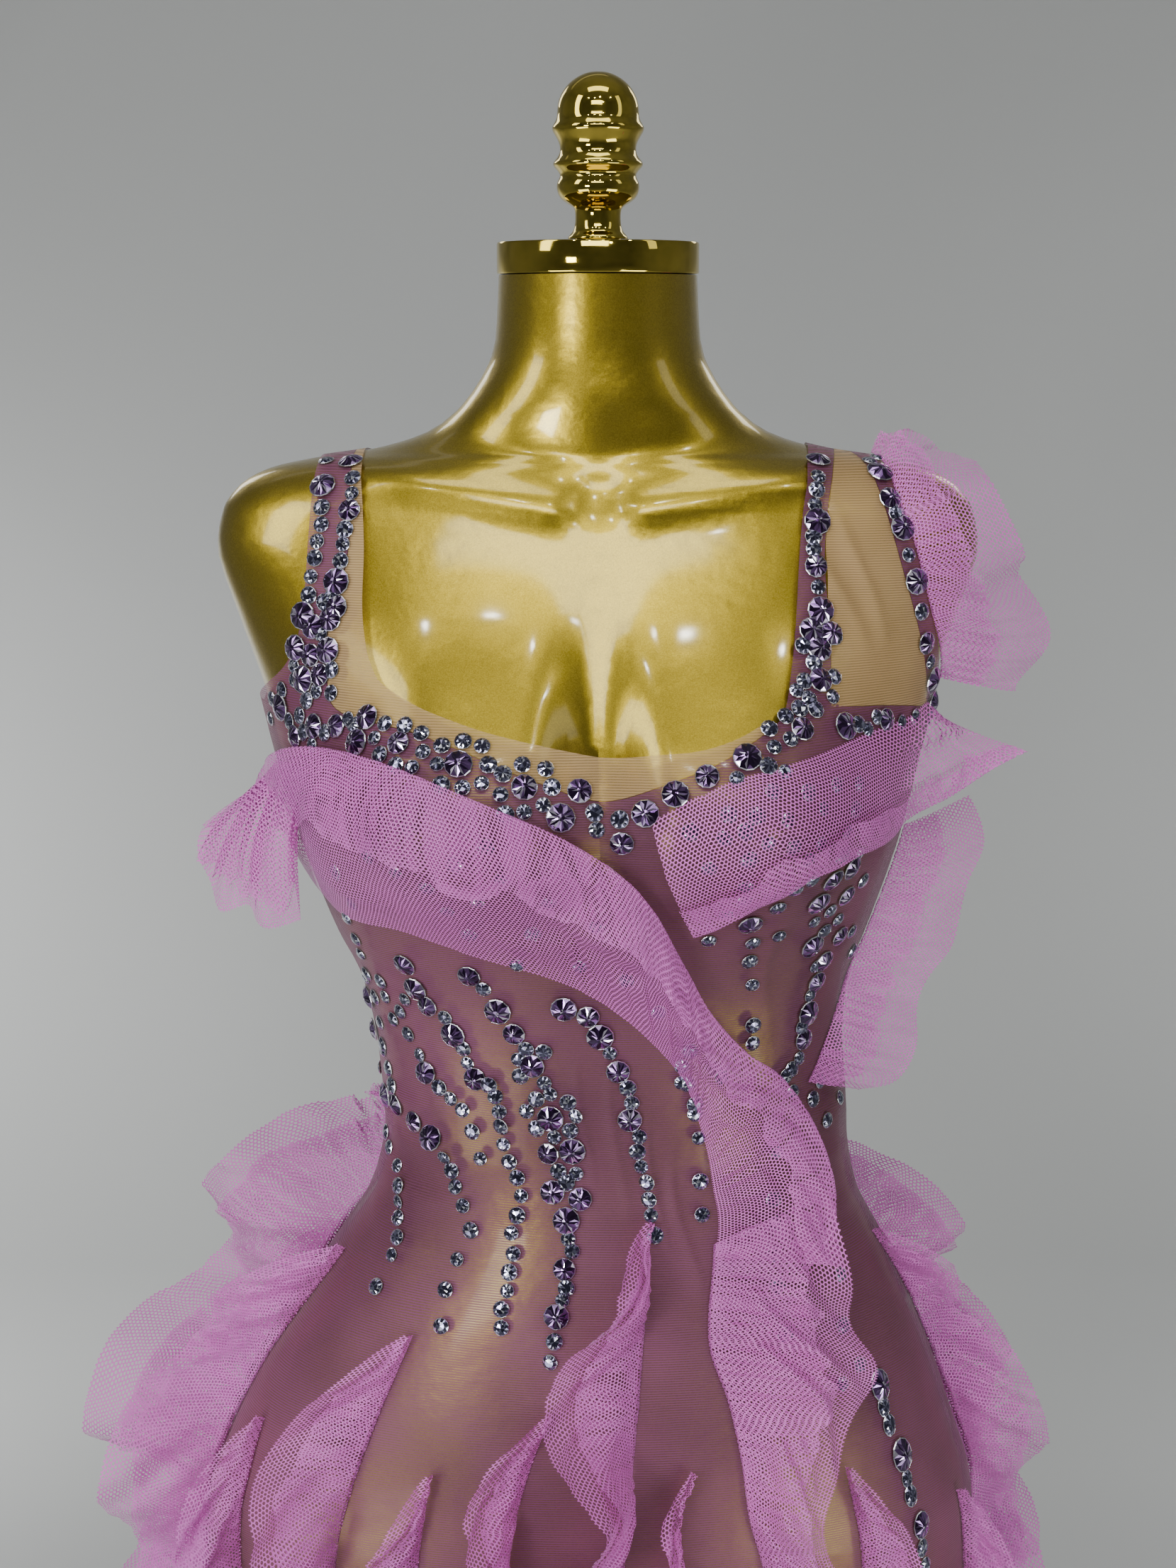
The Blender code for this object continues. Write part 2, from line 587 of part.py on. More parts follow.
# Strips of tulle that fall from a pointed tip to the hem: the sewn line by angle and height, the side the
# free edge leans to, the full width, where the first fold starts and how far the strip stands up, in degrees
Strip = namedtuple("Strip", "name tip middle end side width phase lean")
STRIP_END = HEM_HEIGHT / MM + 8
STRIPS = [
    Strip("front_a", (18, 1011), (8, 860), (0, STRIP_END), -1, 58, 0.05, 46),
    Strip("front_b", (-50, 948), (-55, 845), (-58, STRIP_END), -1, 60, 0.3, 42),
    Strip("front_c", (-78, 974), (-83, 880), (-83, STRIP_END), -1, 60, 0.1, 56),
    Strip("front_d", (-74, 888), (-72, 815), (-70, STRIP_END), -1, 44, 0.6, 46),
    Strip("front_e", (-40, 882), (-41, 830), (-44, STRIP_END), -1, 46, 0.2, 46),
    Strip("front_f", (-13, 916), (-22, 843), (-28, STRIP_END), -1, 54, 0.62, 46),
    Strip("front_g", (24, 886), (19, 836), (15, STRIP_END), -1, 36, 0.8, 56),
    Strip("front_h", (56, 879), (57, 823), (60, STRIP_END), 1, 42, 0.4, 46),
    Strip("front_i", (77, 844), (78, 790), (76, STRIP_END), 1, 40, 0.7, 50),
    Strip("side_a", (81, 982), (90, 880), (89, STRIP_END), 1, 48, 0.2, 66),
    Strip("side_b", (96, 956), (99, 870), (102, STRIP_END), 1, 52, 0.65, 70),
    Strip("side_c", (110, 1048), (113, 930), (116, STRIP_END), 1, 70, 0.15, 72),
    Strip("side_d", (-107, 1052), (-102, 940), (-99, STRIP_END), -1, 84, 0.4, 72),
    Strip("back_a", (-122, 1000), (-120, 880), (-118, STRIP_END), -1, 56, 0.2, 64),
    Strip("back_b", (-138, 930), (-136, 840), (-135, STRIP_END), -1, 50, 0.6, 58),
    Strip("back_c", (-153, 985), (-153, 860), (-152, STRIP_END), -1, 52, 0.3, 60),
    Strip("back_d", (-169, 925), (-169, 840), (-169, STRIP_END), -1, 48, 0.8, 58),
    Strip("back_e", (174, 980), (174, 860), (173, STRIP_END), -1, 50, 0.1, 60),
    Strip("back_f", (158, 930), (157, 840), (156, STRIP_END), -1, 46, 0.5, 58),
]
FOLD_LENGTH = 118
LEAN_SWING = 27
STRIP_ALONG = 16
STRIP_ACROSS = 2


def strip_grid(strip, along, across):
    """A strip whose free edge swings to and fro as it falls, narrow at the tip."""
    line = curve_through([(*strip.tip, 0), (*strip.middle, 0), (*strip.end, 0)], along + 1)
    seam = seat_line([around(angle, height) for angle, height, _ in line])
    columns = []
    for sewn in seam:
        fall = strip.tip[1] - sewn.z / MM
        _, outward, _, _ = DRESS_SURFACE.find_nearest(sewn)
        sideways = Vector((0, 0, 1)).cross(outward).normalized() * strip.side
        width = strip.width * (0.22 + 0.78 * soft_step(fall / 130)) * MM
        swing = math.sin(2 * math.pi * (fall / FOLD_LENGTH + strip.phase))
        lean = math.radians(strip.lean + LEAN_SWING * swing * soft_step(fall / 50))
        column = []
        for j in range(across + 1):
            share = j / across
            turn = lean + math.radians(12) * (1 - share) * swing
            reach = width * share
            point = sewn + (sideways * math.cos(turn) + outward * math.sin(turn)) * reach
            column.append(clear_of(point, FREE_OFF) if j else sewn)
        columns.append(column)
    return columns


for strip in STRIPS:
    hanging_sheet("skirt_" + strip.name, strip_grid(strip, STRIP_ALONG, STRIP_ACROSS), LILAC_TULLE)
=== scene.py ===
import math
from collections import namedtuple

import bmesh
import bpy
import numpy as np
from mathutils import Matrix, Vector
from mathutils.bvhtree import BVHTree


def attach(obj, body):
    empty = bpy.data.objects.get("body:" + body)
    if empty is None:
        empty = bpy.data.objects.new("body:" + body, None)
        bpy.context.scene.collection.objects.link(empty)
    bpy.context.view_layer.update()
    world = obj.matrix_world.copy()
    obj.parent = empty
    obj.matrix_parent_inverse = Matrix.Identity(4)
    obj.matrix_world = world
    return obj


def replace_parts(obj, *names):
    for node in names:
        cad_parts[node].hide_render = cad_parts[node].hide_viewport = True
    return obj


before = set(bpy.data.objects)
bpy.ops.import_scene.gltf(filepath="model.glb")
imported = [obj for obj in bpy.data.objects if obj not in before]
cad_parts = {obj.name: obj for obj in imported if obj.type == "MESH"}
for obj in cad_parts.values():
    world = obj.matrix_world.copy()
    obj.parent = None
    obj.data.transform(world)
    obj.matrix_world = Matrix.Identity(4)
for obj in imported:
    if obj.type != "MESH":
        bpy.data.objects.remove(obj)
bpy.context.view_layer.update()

MM = 0.001
scene = bpy.context.scene

# The view: the lens stands in front of the neck and looks 11 degrees down, as in the photograph.
camera_data = bpy.data.cameras.new("camera")
camera_data.lens = 54.1
camera_data.clip_start = 0.05
camera = bpy.data.objects.new("camera", camera_data)
camera.location = (-0.005, -1.214, 1.457)
camera.rotation_euler = (math.radians(79), 0, 0)
scene.collection.objects.link(camera)
scene.camera = camera
scene.cycles.transparent_max_bounces = 14


# The studio: a pale grey room, painted on the inside only so that it can be looked into from all sides, with
# big soft lamps and a few small ones that give the stones and the gold their glints.
def add_node(tree, kind, inputs=None, **settings):
    """A shader node with its settings and its inputs, each a value or another node's output."""
    made = tree.nodes.new(kind)
    for key, value in settings.items():
        setattr(made, key, value)
    for socket, value in (inputs or {}).items():
        if isinstance(value, bpy.types.NodeSocket):
            tree.links.new(value, made.inputs[socket])
        else:
            made.inputs[socket].default_value = value
    return made


def new_material(name, colour, metallic, roughness):
    """A material, its node tree and its Principled shader."""
    material = bpy.data.materials.new(name)
    material.use_nodes = True
    tree = material.node_tree
    shader = tree.nodes["Principled BSDF"]
    shader.inputs["Base Color"].default_value = (*colour, 1)
    shader.inputs["Metallic"].default_value = metallic
    shader.inputs["Roughness"].default_value = roughness
    material.diffuse_color = (*colour, 1)
    return material, tree, shader


def two_tones(tree, shader, dark, light, scale, detail, spread=0.15):
    """A base colour that drifts between two tones in soft patches; gives back the coordinates it reads."""
    place = add_node(tree, "ShaderNodeTexCoord").outputs["Object"]
    patches = add_node(tree, "ShaderNodeTexNoise", {"Vector": place, "Scale": scale, "Detail": detail})
    ramp = add_node(tree, "ShaderNodeValToRGB", {"Fac": patches.outputs["Fac"]})
    for element, stop, colour in zip(ramp.color_ramp.elements, (0.5 - spread, 0.5 + spread), (dark, light)):
        element.position, element.color = stop, (*colour, 1)
    tree.links.new(ramp.outputs["Color"], shader.inputs["Base Color"])
    return place


def calculated(tree, operation, *inputs, clamp=False):
    """What a maths node makes of numbers or of other nodes' outputs."""
    return add_node(tree, "ShaderNodeMath", dict(enumerate(inputs)), operation=operation, use_clamp=clamp).outputs[0]


def select_only(piece):
    bpy.ops.object.select_all(action="DESELECT")
    piece.select_set(True)
    bpy.context.view_layer.objects.active = piece


def object_mode(action):
    """Runs edit-mode work on the active object."""
    bpy.ops.object.mode_set(mode="EDIT")
    action()
    bpy.ops.object.mode_set(mode="OBJECT")


def apply_modifiers(piece):
    select_only(piece)
    for modifier in list(piece.modifiers):
        bpy.ops.object.modifier_apply(modifier=modifier.name)


bpy.ops.object.select_all(action="DESELECT")
bpy.ops.mesh.primitive_plane_add(size=7, location=(0, -1.2, 0))
studio = bpy.context.object
studio.name = "studio_room"
bpy.ops.object.transform_apply(location=True, rotation=False, scale=False)


def raise_walls():
    bpy.ops.mesh.select_all(action="SELECT")
    bpy.ops.mesh.extrude_region_move(TRANSFORM_OT_translate={"value": (0, 0, 4)})
    bpy.ops.mesh.select_all(action="SELECT")
    bpy.ops.mesh.normals_make_consistent(inside=True)


object_mode(raise_walls)
bpy.ops.object.shade_smooth()
wall_paint, tree, shader = new_material("studio_paint", (0.5, 0.51, 0.51), 0, 0.8)
two_tones(tree, shader, (0.41, 0.42, 0.415), (0.5, 0.51, 0.505), 0.7, 1.0)
side = add_node(tree, "ShaderNodeNewGeometry")
inner_side = calculated(tree, "SUBTRACT", 1.0, side.outputs["Backfacing"])
tree.links.new(inner_side, shader.inputs["Alpha"])
studio.data.materials.append(wall_paint)

Lamp = namedtuple("Lamp", "name place aim width height power")
LAMPS = [
    Lamp("lamp_front", (-0.15, -2.3, 2.55), (0, 0, 1.2), 1.3, 0.45, 14),
    Lamp("lamp_top", (0.0, -0.5, 2.8), (0, 0, 1.2), 1.1, 0.4, 5.5),
    Lamp("lamp_left", (-1.7, -0.9, 2.4), (0, 0, 1.2), 0.5, 1.2, 11),
    Lamp("lamp_right", (1.7, -0.8, 2.4), (0, 0, 1.2), 0.4, 1.0, 1.8),
    Lamp("lamp_low_right", (1.4, -1.5, 0.2), (0, 0, 0.85), 1.2, 0.7, 18),
    Lamp("lamp_low_left", (-1.4, -1.4, 0.2), (0, 0, 0.85), 1.2, 0.7, 15),
    Lamp("lamp_belly", (-0.95, -1.65, 1.3), (0, 0, 0.95), 0.35, 0.3, 10),
    Lamp("lamp_back_left", (-1.3, 2.0, 2.3), (0, 0, 1.0), 0.5, 0.8, 4.5),
    Lamp("lamp_back_right", (1.3, 2.0, 2.3), (0, 0, 1.0), 0.5, 0.8, 4),
    Lamp("wall_wash_left", (-1.5, 1.45, 0.9), (-1.3, 2.3, 0.1), 0.8, 0.6, 19),
    Lamp("wall_wash_right", (1.5, 1.45, 0.8), (1.2, 2.3, 0.1), 0.8, 0.6, 5),
    Lamp("wall_wash_top", (-0.5, 1.0, 2.9), (-0.6, 2.3, 1.0), 1.6, 0.6, 1),
    Lamp("spot_a", (-0.75, -1.3, 2.6), (0, 0, 1.25), 0.05, 0.05, 1.3),
    Lamp("spot_b", (-0.3, -1.6, 2.7), (0, 0, 1.25), 0.07, 0.035, 1.4),
    Lamp("spot_c", (0.16, -1.4, 2.7), (0, 0, 1.25), 0.07, 0.035, 1.6),
    Lamp("spot_d", (0.5, -1.9, 2.4), (0, 0, 1.25), 0.05, 0.05, 1.1),
    Lamp("spot_e", (0.85, -1.0, 2.5), (0, 0, 1.25), 0.05, 0.05, 1.3),
]
for lamp in LAMPS:
    light = bpy.data.lights.new(lamp.name, "AREA")
    light.shape = "RECTANGLE"
    light.size, light.size_y, light.energy = lamp.width, lamp.height, lamp.power
    holder = bpy.data.objects.new(lamp.name, light)
    holder.location = lamp.place
    holder.rotation_euler = (Vector(lamp.aim) - Vector(lamp.place)).to_track_quat("-Z", "Y").to_euler()
    scene.collection.objects.link(holder)
world = bpy.data.worlds.new("studio_air")
world.use_nodes = True
world.node_tree.nodes["Background"].inputs["Color"].default_value = (0.1, 0.1, 0.105, 1)
scene.world = world

# The form: a hollow resin figure with no head or limbs, sprayed in gold lacquer with fine metal flake, held
# on its pole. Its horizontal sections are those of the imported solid, in millimetres.
Section = namedtuple("Section", "height half_width front back shift square")
SECTIONS = [Section(*row) for row in (
    (612, 180, 98, 116, -3, 2.2), (700, 201, 106, 134, -4, 2.2), (770, 212, 112, 147, -4, 2.2),
    (829, 210, 113, 152, -4, 2.2), (868, 198, 110, 146, -3, 2.2), (907, 182, 104, 130, 0, 2.2),
    (968, 149, 92, 97, 7, 2.15), (1005, 129, 83, 79, 9, 2.1), (1040, 123, 78, 72, 10, 2.1),
    (1080, 123, 79, 73, 7, 2.1), (1120, 128, 84, 79, 4, 2.1), (1150, 140, 88, 85, 2, 2.15),
    (1200, 157, 92, 94, 1, 2.2), (1245, 168, 90, 99, 0, 2.3), (1275, 175, 86, 100, 0, 2.35),
    (1310, 187, 79, 97, 0, 2.35), (1346, 198, 70, 88, 0, 2.3), (1364, 195, 65, 81, 0, 2.2),
    (1378, 184, 60, 74, 0, 2.05), (1386, 168, 57, 69, 0, 1.9), (1391, 145, 55, 65, 0, 1.75),
    (1395, 118, 54, 61, 0, 1.7), (1404, 88, 53, 57, 0, 1.8), (1424, 64, 51, 53, 0, 2.0),
    (1450, 52, 49, 50, 0, 2.0), (1482, 50, 49, 49, 0, 2.0),
)]
FORM_CLEARANCE = 3.0 * MM
BARE_HEIGHT = 1410 * MM
BUST_HEIGHT = 1222 * MM
BUST_APART = 80 * MM
BUST_DEPTH = 47 * MM
BUST_WIDTH = 62 * MM
BUST_ABOVE = 66 * MM
BUST_BELOW = 50 * MM
BUST_BRIDGE = 0.72
CLEFT_BRIDGE = 0.6
CLEFT_WIDTH = 36 * MM


def smooth_slopes(values):
    """Slopes at each row of a column that never overshoot between two rows."""
    steps = np.diff(values)
    slopes = np.zeros(len(values))
    same_way = steps[:-1] * steps[1:] > 0
    inner = np.zeros(len(steps) - 1)
    inner[same_way] = 2 * steps[:-1][same_way] * steps[1:][same_way] / (steps[:-1] + steps[1:])[same_way]
    slopes[1:-1] = inner
    slopes[0] = steps[0]
    slopes[-1] = steps[-1]
    return slopes


COLUMNS = np.array(SECTIONS, float)
SLOPES = np.array([smooth_slopes(column) for column in COLUMNS.T]).T


def section_at(row):
    """The section at a fractional row of the table, lengths in metres."""
    first = min(int(row), len(SECTIONS) - 2)
    u = row - first
    start = (1 + 2 * u) * (1 - u) ** 2 * COLUMNS[first] + u * (1 - u) ** 2 * SLOPES[first]
    end = u * u * (3 - 2 * u) * COLUMNS[first + 1] - u * u * (1 - u) * SLOPES[first + 1]
    values = start + end
    return Section(*(values[:5] * MM), values[5])


def soft_step(value):
    value = min(1.0, max(0.0, value))
    return value * value * (3 - 2 * value)


COLLAR_RISE, COLLAR_HEIGHT, COLLAR_SLOPE, COLLAR_WIDTH, COLLAR_REACH = 3.2, 1366, 0.16, 8, 130
THROAT_DEPTH, THROAT_HEIGHT, THROAT_WIDTH = 3.0, 1376, 12


def collar_bone(x, height):
    """The collar bones rise in two soft ridges from the hollow at the throat, in millimetres."""
    above = (height - COLLAR_HEIGHT - COLLAR_SLOPE * x) / COLLAR_WIDTH
    fade = soft_step((x - COLLAR_WIDTH) / 14) * soft_step((COLLAR_REACH - x) / 40)
    hollow = math.exp(-((x / THROAT_WIDTH) ** 2) - ((height - THROAT_HEIGHT) / THROAT_WIDTH) ** 2)
    return COLLAR_RISE * math.exp(-(above ** 2)) * fade - THROAT_DEPTH * hollow


def surface_point(row, angle, bridge):
    """A point of the figure at a table row; the angle runs from the front middle, positive to +X."""
    section = section_at(row)
    power = 2 / section.square
    sine, cosine = math.sin(angle), math.cos(angle)
    depth = section.front if cosine > 0 else section.back
    x = section.half_width * math.copysign(abs(sine) ** power, sine)
    y = -depth * math.copysign(abs(cosine) ** power, cosine)
    if cosine > 0:
        reach = BUST_ABOVE if section.height > BUST_HEIGHT else BUST_BELOW
        upward = math.exp(-(((section.height - BUST_HEIGHT) / reach) ** 2))
        across = math.exp(-(((abs(x) - BUST_APART) / BUST_WIDTH) ** 2))
        if abs(x) < BUST_APART:
            across += max(bridge, CLEFT_BRIDGE * soft_step(abs(x) / CLEFT_WIDTH)) * (1 - across)
        y -= soft_step(cosine * 1.6) * BUST_DEPTH * upward * across
        y -= collar_bone(abs(x) / MM, section.height / MM) * MM
    return Vector((section.shift + x, y, section.height))


RINGS = 176
AROUND = 240


def figure(name, bridge):
    """A drum of rings, each ring moved onto its section of the figure."""
    bpy.ops.object.select_all(action="DESELECT")
    bpy.ops.mesh.primitive_cylinder_add(vertices=AROUND, radius=1, depth=2, end_fill_type="NGON")
    made = bpy.context.object
    made.name = name

    def add_rings():
        mesh = bmesh.from_edit_mesh(made.data)
        for edge in mesh.edges:
            edge.select = abs(edge.verts[0].co.z - edge.verts[1].co.z) > 1
        bmesh.update_edit_mesh(made.data)
        bpy.ops.mesh.subdivide(number_cuts=RINGS - 2)

    object_mode(add_rings)
    for vert in made.data.vertices:
        row = round((vert.co.z + 1) / 2 * (RINGS - 1)) / (RINGS - 1) * (len(SECTIONS) - 1)
        vert.co = surface_point(row, math.atan2(vert.co.x, -vert.co.y), bridge)
    made.data.update()
    return made


def flake_colour(tree, shader, dark, light, scale, bump):
    """Fine metal flake in the lacquer: small changes of colour and a faint roughness of the coat."""
    place = two_tones(tree, shader, dark, light, scale, 3.0, 0.2)
    peel = add_node(tree, "ShaderNodeTexNoise", {"Vector": place, "Scale": scale / 12, "Detail": 2.0})
    relief = add_node(tree, "ShaderNodeBump", {"Height": peel.outputs["Fac"], "Strength": bump, "Distance": 0.0004})
    tree.links.new(relief.outputs["Normal"], shader.inputs["Normal"])


gold_paint, tree, shader = new_material("gold_lacquer", (0.6, 0.44, 0.05), 1.0, 0.32)
flake_colour(tree, shader, (0.37, 0.262, 0.02), (0.57, 0.42, 0.042), 1600.0, 0.55)
shader.inputs["Coat Weight"].default_value = 0.8
shader.inputs["Coat Roughness"].default_value = 0.09

torso = figure("form_torso_shell", 0.0)
torso_mesh = bmesh.new()
torso_mesh.from_mesh(torso.data)
torso_mesh.normal_update()
moves = []
for vert in torso_mesh.verts:
    bare = soft_step((vert.co.z - BARE_HEIGHT) / (30 * MM) + 0.5)
    moves.append((vert, vert.normal.copy(), FORM_CLEARANCE * (1 - bare)))
for vert, normal, depth in moves:
    vert.co -= Vector((normal.x, normal.y, 0)) * depth
torso_mesh.to_mesh(torso.data)
torso_mesh.free()
torso.data.materials.append(gold_paint)
select_only(torso)
bpy.ops.object.shade_smooth_by_angle(angle=math.radians(50))
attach(torso, "root")
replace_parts(torso, "form_torso")

# The worn surface that the cloth lies on: the same figure, bridged between the two sides of the bust.
worn = figure("worn_surface", BUST_BRIDGE)
DRESS_SURFACE = BVHTree.FromPolygons([vert.co.copy() for vert in worn.data.vertices],
                                     [tuple(face.vertices) for face in worn.data.polygons])
bpy.data.objects.remove(worn)

# The turned brass parts: the cap on the neck with its finial, and the pole and foot, all polished and
# gold plated. Each is a profile of (radius, height) in millimetres turned about its axis.
gold_plate, tree, shader = new_material("polished_gold", (0.54, 0.41, 0.065), 1.0, 0.05)


def hazy_gloss(tree, shader, scale, detail, start, end, least, most):
    """A roughness that changes in small hazy patches."""
    place = add_node(tree, "ShaderNodeTexCoord").outputs["Object"]
    haze = add_node(tree, "ShaderNodeTexNoise", {"Vector": place, "Scale": scale, "Detail": detail})
    wear = add_node(tree, "ShaderNodeMapRange", {"Value": haze.outputs["Fac"], "From Min": start, "From Max": end,
                                                  "To Min": least, "To Max": most})
    tree.links.new(wear.outputs["Result"], shader.inputs["Roughness"])


hazy_gloss(tree, shader, 60.0, 4.0, 0.4, 0.75, 0.03, 0.12)

FINIAL = [
    (0, 1498.6), (15, 1498.6), (15.5, 1500.5), (13.5, 1502.5), (11.5, 1505), (11.2, 1514), (13, 1516),
    (19, 1519), (21, 1524), (20.6, 1528), (18, 1531), (22.5, 1535), (22.8, 1537), (18.6, 1541), (19.2, 1547),
    (23, 1552), (23.2, 1554.5), (20.2, 1558), (20.6, 1564), (18.4, 1571), (13, 1577), (6.5, 1580.3), (0, 1581),
]
CAP = [(0, 1482.3), (48.5, 1482.3), (50.6, 1482.6), (51, 1483.4), (51, 1497.2), (50.6, 1498), (48.5, 1498.3),
       (20, 1498.3), (0, 1498.3)]
POLE = [(0, 16.3), (15.2, 16.3), (16, 17.2), (16, 29.5), (13.2, 34), (13, 40), (13, 600), (13, 611.7), (0, 611.7)]
FOOT = [(0, 0), (157, 0), (160, 1.6), (160, 8), (156, 12), (100, 14), (40, 16), (0, 16)]


def turned(name, profile, centre, smooth):
    """Spins a profile about its own upright axis and closes it."""
    mesh = bpy.data.meshes.new(name)
    points = [(centre[0] * MM + radius * MM, centre[1] * MM, height * MM) for radius, height in profile]
    mesh.from_pydata(points, [(k, k + 1) for k in range(len(points) - 1)], [])
    made = bpy.data.objects.new(name, mesh)
    scene.collection.objects.link(made)
    select_only(made)

    def spin():
        bpy.ops.mesh.select_all(action="SELECT")
        bpy.ops.mesh.spin(steps=96, angle=2 * math.pi, center=(centre[0] * MM, centre[1] * MM, 0), axis=(0, 0, 1))
        bpy.ops.mesh.select_all(action="SELECT")
        bpy.ops.mesh.remove_doubles(threshold=0.00001)
        bpy.ops.mesh.normals_make_consistent(inside=False)

    object_mode(spin)
    if smooth:
        made.modifiers.new("round", "SUBSURF").levels = 2
        made.modifiers["round"].render_levels = 2
        apply_modifiers(made)
    made.data.materials.append(gold_plate)
    bpy.ops.object.shade_smooth_by_angle(angle=math.radians(40))
    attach(made, "root")
    return made


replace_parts(turned("neck_cap_plate", CAP, (0, 0), False), "neck_cap")
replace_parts(turned("finial_turned", FINIAL, (0, 0), True), "finial")
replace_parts(turned("pole_tube", POLE, (0, 10), False), "pole")
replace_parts(turned("foot_plate", FOOT, (0, 0), False), "base")

# The dress panels: sheer stretch mesh, knitted in fine rows that run round the body, cut from one layer and
# lying on the form. The lilac ones are dyed, the narrow ones at the neck and shoulder are nude.
Crease = namedtuple("Crease", "angle height end_angle end_height width rise")
FRONT_CREASES = [Crease(*row) for row in (
    (-86, 1052, -40, 1030, 5, 1.8), (-84, 1040, -52, 1012, 4, -1.2), (-88, 1024, -30, 1004, 6, 1.6),
    (-80, 1068, -46, 1058, 4, 1.3), (-82, 1006, -48, 978, 5, 1.2), (-60, 1096, -52, 1044, 4, 1.1),
    (-38, 1100, -34, 1048, 4, 1.2), (-26, 1088, -20, 1030, 5, -0.9), (-8, 1098, -2, 1026, 4, 1.0),
    (4, 1094, 10, 1010, 5, 1.2), (18, 1068, 22, 990, 4, 1.3), (26, 1050, 30, 968, 5, 1.5),
    (34, 1120, 40, 1070, 4, 1.2), (46, 1176, 52, 1092, 5, 1.2), (62, 1064, 84, 1044, 5, 1.7),
    (58, 1038, 86, 1026, 4, 1.4), (64, 1012, 88, 1002, 5, 1.3), (-24, 962, 12, 928, 6, 1.4),
    (-14, 944, 20, 904, 5, 1.6), (-30, 930, 6, 886, 6, -1.0), (-44, 906, -8, 868, 6, 1.1),
    (2, 968, 26, 946, 4, 1.0), (34, 930, 60, 884, 6, 1.2), (-66, 968, -36, 946, 5, 1.0),
    (-70, 1196, -44, 1176, 5, 1.0), (-30, 1176, 0, 1150, 6, 1.1), (30, 1206, 58, 1192, 5, 0.9),
    (-62, 1240, -34, 1226, 5, 0.8), (-56, 846, -18, 806, 7, 1.1), (16, 858, 48, 806, 7, 1.2),
    (-40, 792, 4, 752, 8, 1.0), (34, 780, 66, 736, 8, 1.1),
)]
BACK_CREASES = [Crease(*row) for row in (
    (94, 1058, 140, 1040, 5, 1.7), (98, 1030, 152, 1016, 6, 1.8), (92, 1006, 136, 984, 5, 1.2),
    (266, 1060, 214, 1036, 5, 1.6), (262, 1034, 206, 1022, 6, 1.9), (268, 1004, 226, 980, 5, 1.3),
    (166, 1052, 196, 1044, 5, 1.2), (160, 1026, 202, 1030, 6, 1.5), (150, 1112, 176, 1080, 5, 1.0),
    (212, 1118, 188, 1076, 5, 1.1), (118, 962, 158, 936, 6, 1.1), (240, 958, 200, 926, 6, 1.2),
    (172, 900, 190, 846, 7, -1.0), (112, 1208, 142, 1188, 5, 0.9), (248, 1212, 220, 1186, 5, 1.0),
    (132, 820, 166, 780, 8, 1.1), (228, 826, 196, 776, 8, 1.0),
)]
BAND_CREASES = [Crease(*row) for row in (
    (-44, 1288, -38, 1262, 4, 0.5), (-14, 1268, -10, 1240, 4, 0.5), (16, 1266, 12, 1244, 4, 0.4),
)]
INSERT_CREASES = [Crease(*row) for row in (
    (48, 1384, 50, 1284, 4, 1.6), (54, 1380, 56, 1290, 4, -1.0), (60, 1382, 61, 1296, 4, 1.8),
    (66, 1378, 65, 1300, 3, 1.4),
)]
CREASE_GAIN = 1.5
CREASE_SWAY = 0.8
CREASE_BENDS = 5
DEEPEST = -0.7
CLOTH_THICKNESS = 1.0 * MM
HALF_GIRTH = 150


def new_group(name, inputs, outputs):
    """A shader node group with its number sockets, and its input node."""
    group = bpy.data.node_groups.new(name, "ShaderNodeTree")
    for way, sockets in (("INPUT", inputs), ("OUTPUT", outputs)):
        for socket in sockets:
            group.interface.new_socket(socket, in_out=way, socket_type="NodeSocketFloat")
    return group, add_node(group, "NodeGroupInput")


def knit_group():
    """Fine knitted rows: how much thread covers the place, and its height."""
    group, source = new_group("stretch_mesh_rows", ["Open"], ["Cover", "Height"])
    place = add_node(group, "ShaderNodeTexCoord").outputs["Object"]
    rows = add_node(group, "ShaderNodeTexWave", {"Vector": place, "Scale": 260.0, "Distortion": 0.6, "Detail": 1.0},
                    bands_direction="Z")
    loose = add_node(group, "ShaderNodeTexNoise", {"Vector": place, "Scale": 26.0, "Detail": 3.0})
    thread = add_node(group, "ShaderNodeMapRange", {"Value": rows.outputs["Fac"], "To Min": -0.16, "To Max": 0.16})
    patch = add_node(group, "ShaderNodeMapRange", {"Value": loose.outputs["Fac"], "From Min": 0.3, "From Max": 0.7,
                                                   "To Min": -0.06, "To Max": 0.06})
    both = calculated(group, "ADD", thread.outputs["Result"], patch.outputs["Result"])
    cover = calculated(group, "ADD", calculated(group, "SUBTRACT", both, source.outputs["Open"]), 1.0, clamp=True)
    add_node(group, "NodeGroupOutput", {"Cover": cover, "Height": rows.outputs["Fac"]})
    return group


KNIT = knit_group()


def mesh_cloth(name, dark, light, open_share, sheen):
    """Sheer knitted mesh: the cover of its threads is its alpha, and its colour changes softly."""
    material, tree, shader = new_material(name, light, 0, 0.62)
    knit = add_node(tree, "ShaderNodeGroup", node_tree=KNIT)
    knit.inputs["Open"].default_value = open_share
    tree.links.new(knit.outputs["Cover"], shader.inputs["Alpha"])
    two_tones(tree, shader, dark, light, 7.0, 3.0)
    relief = add_node(tree, "ShaderNodeBump", {"Height": knit.outputs["Height"], "Strength": 0.3, "Distance": 0.0004})
    tree.links.new(relief.outputs["Normal"], shader.inputs["Normal"])
    shader.inputs["Sheen Weight"].default_value = sheen
    shader.inputs["Sheen Roughness"].default_value = 0.4
    return material


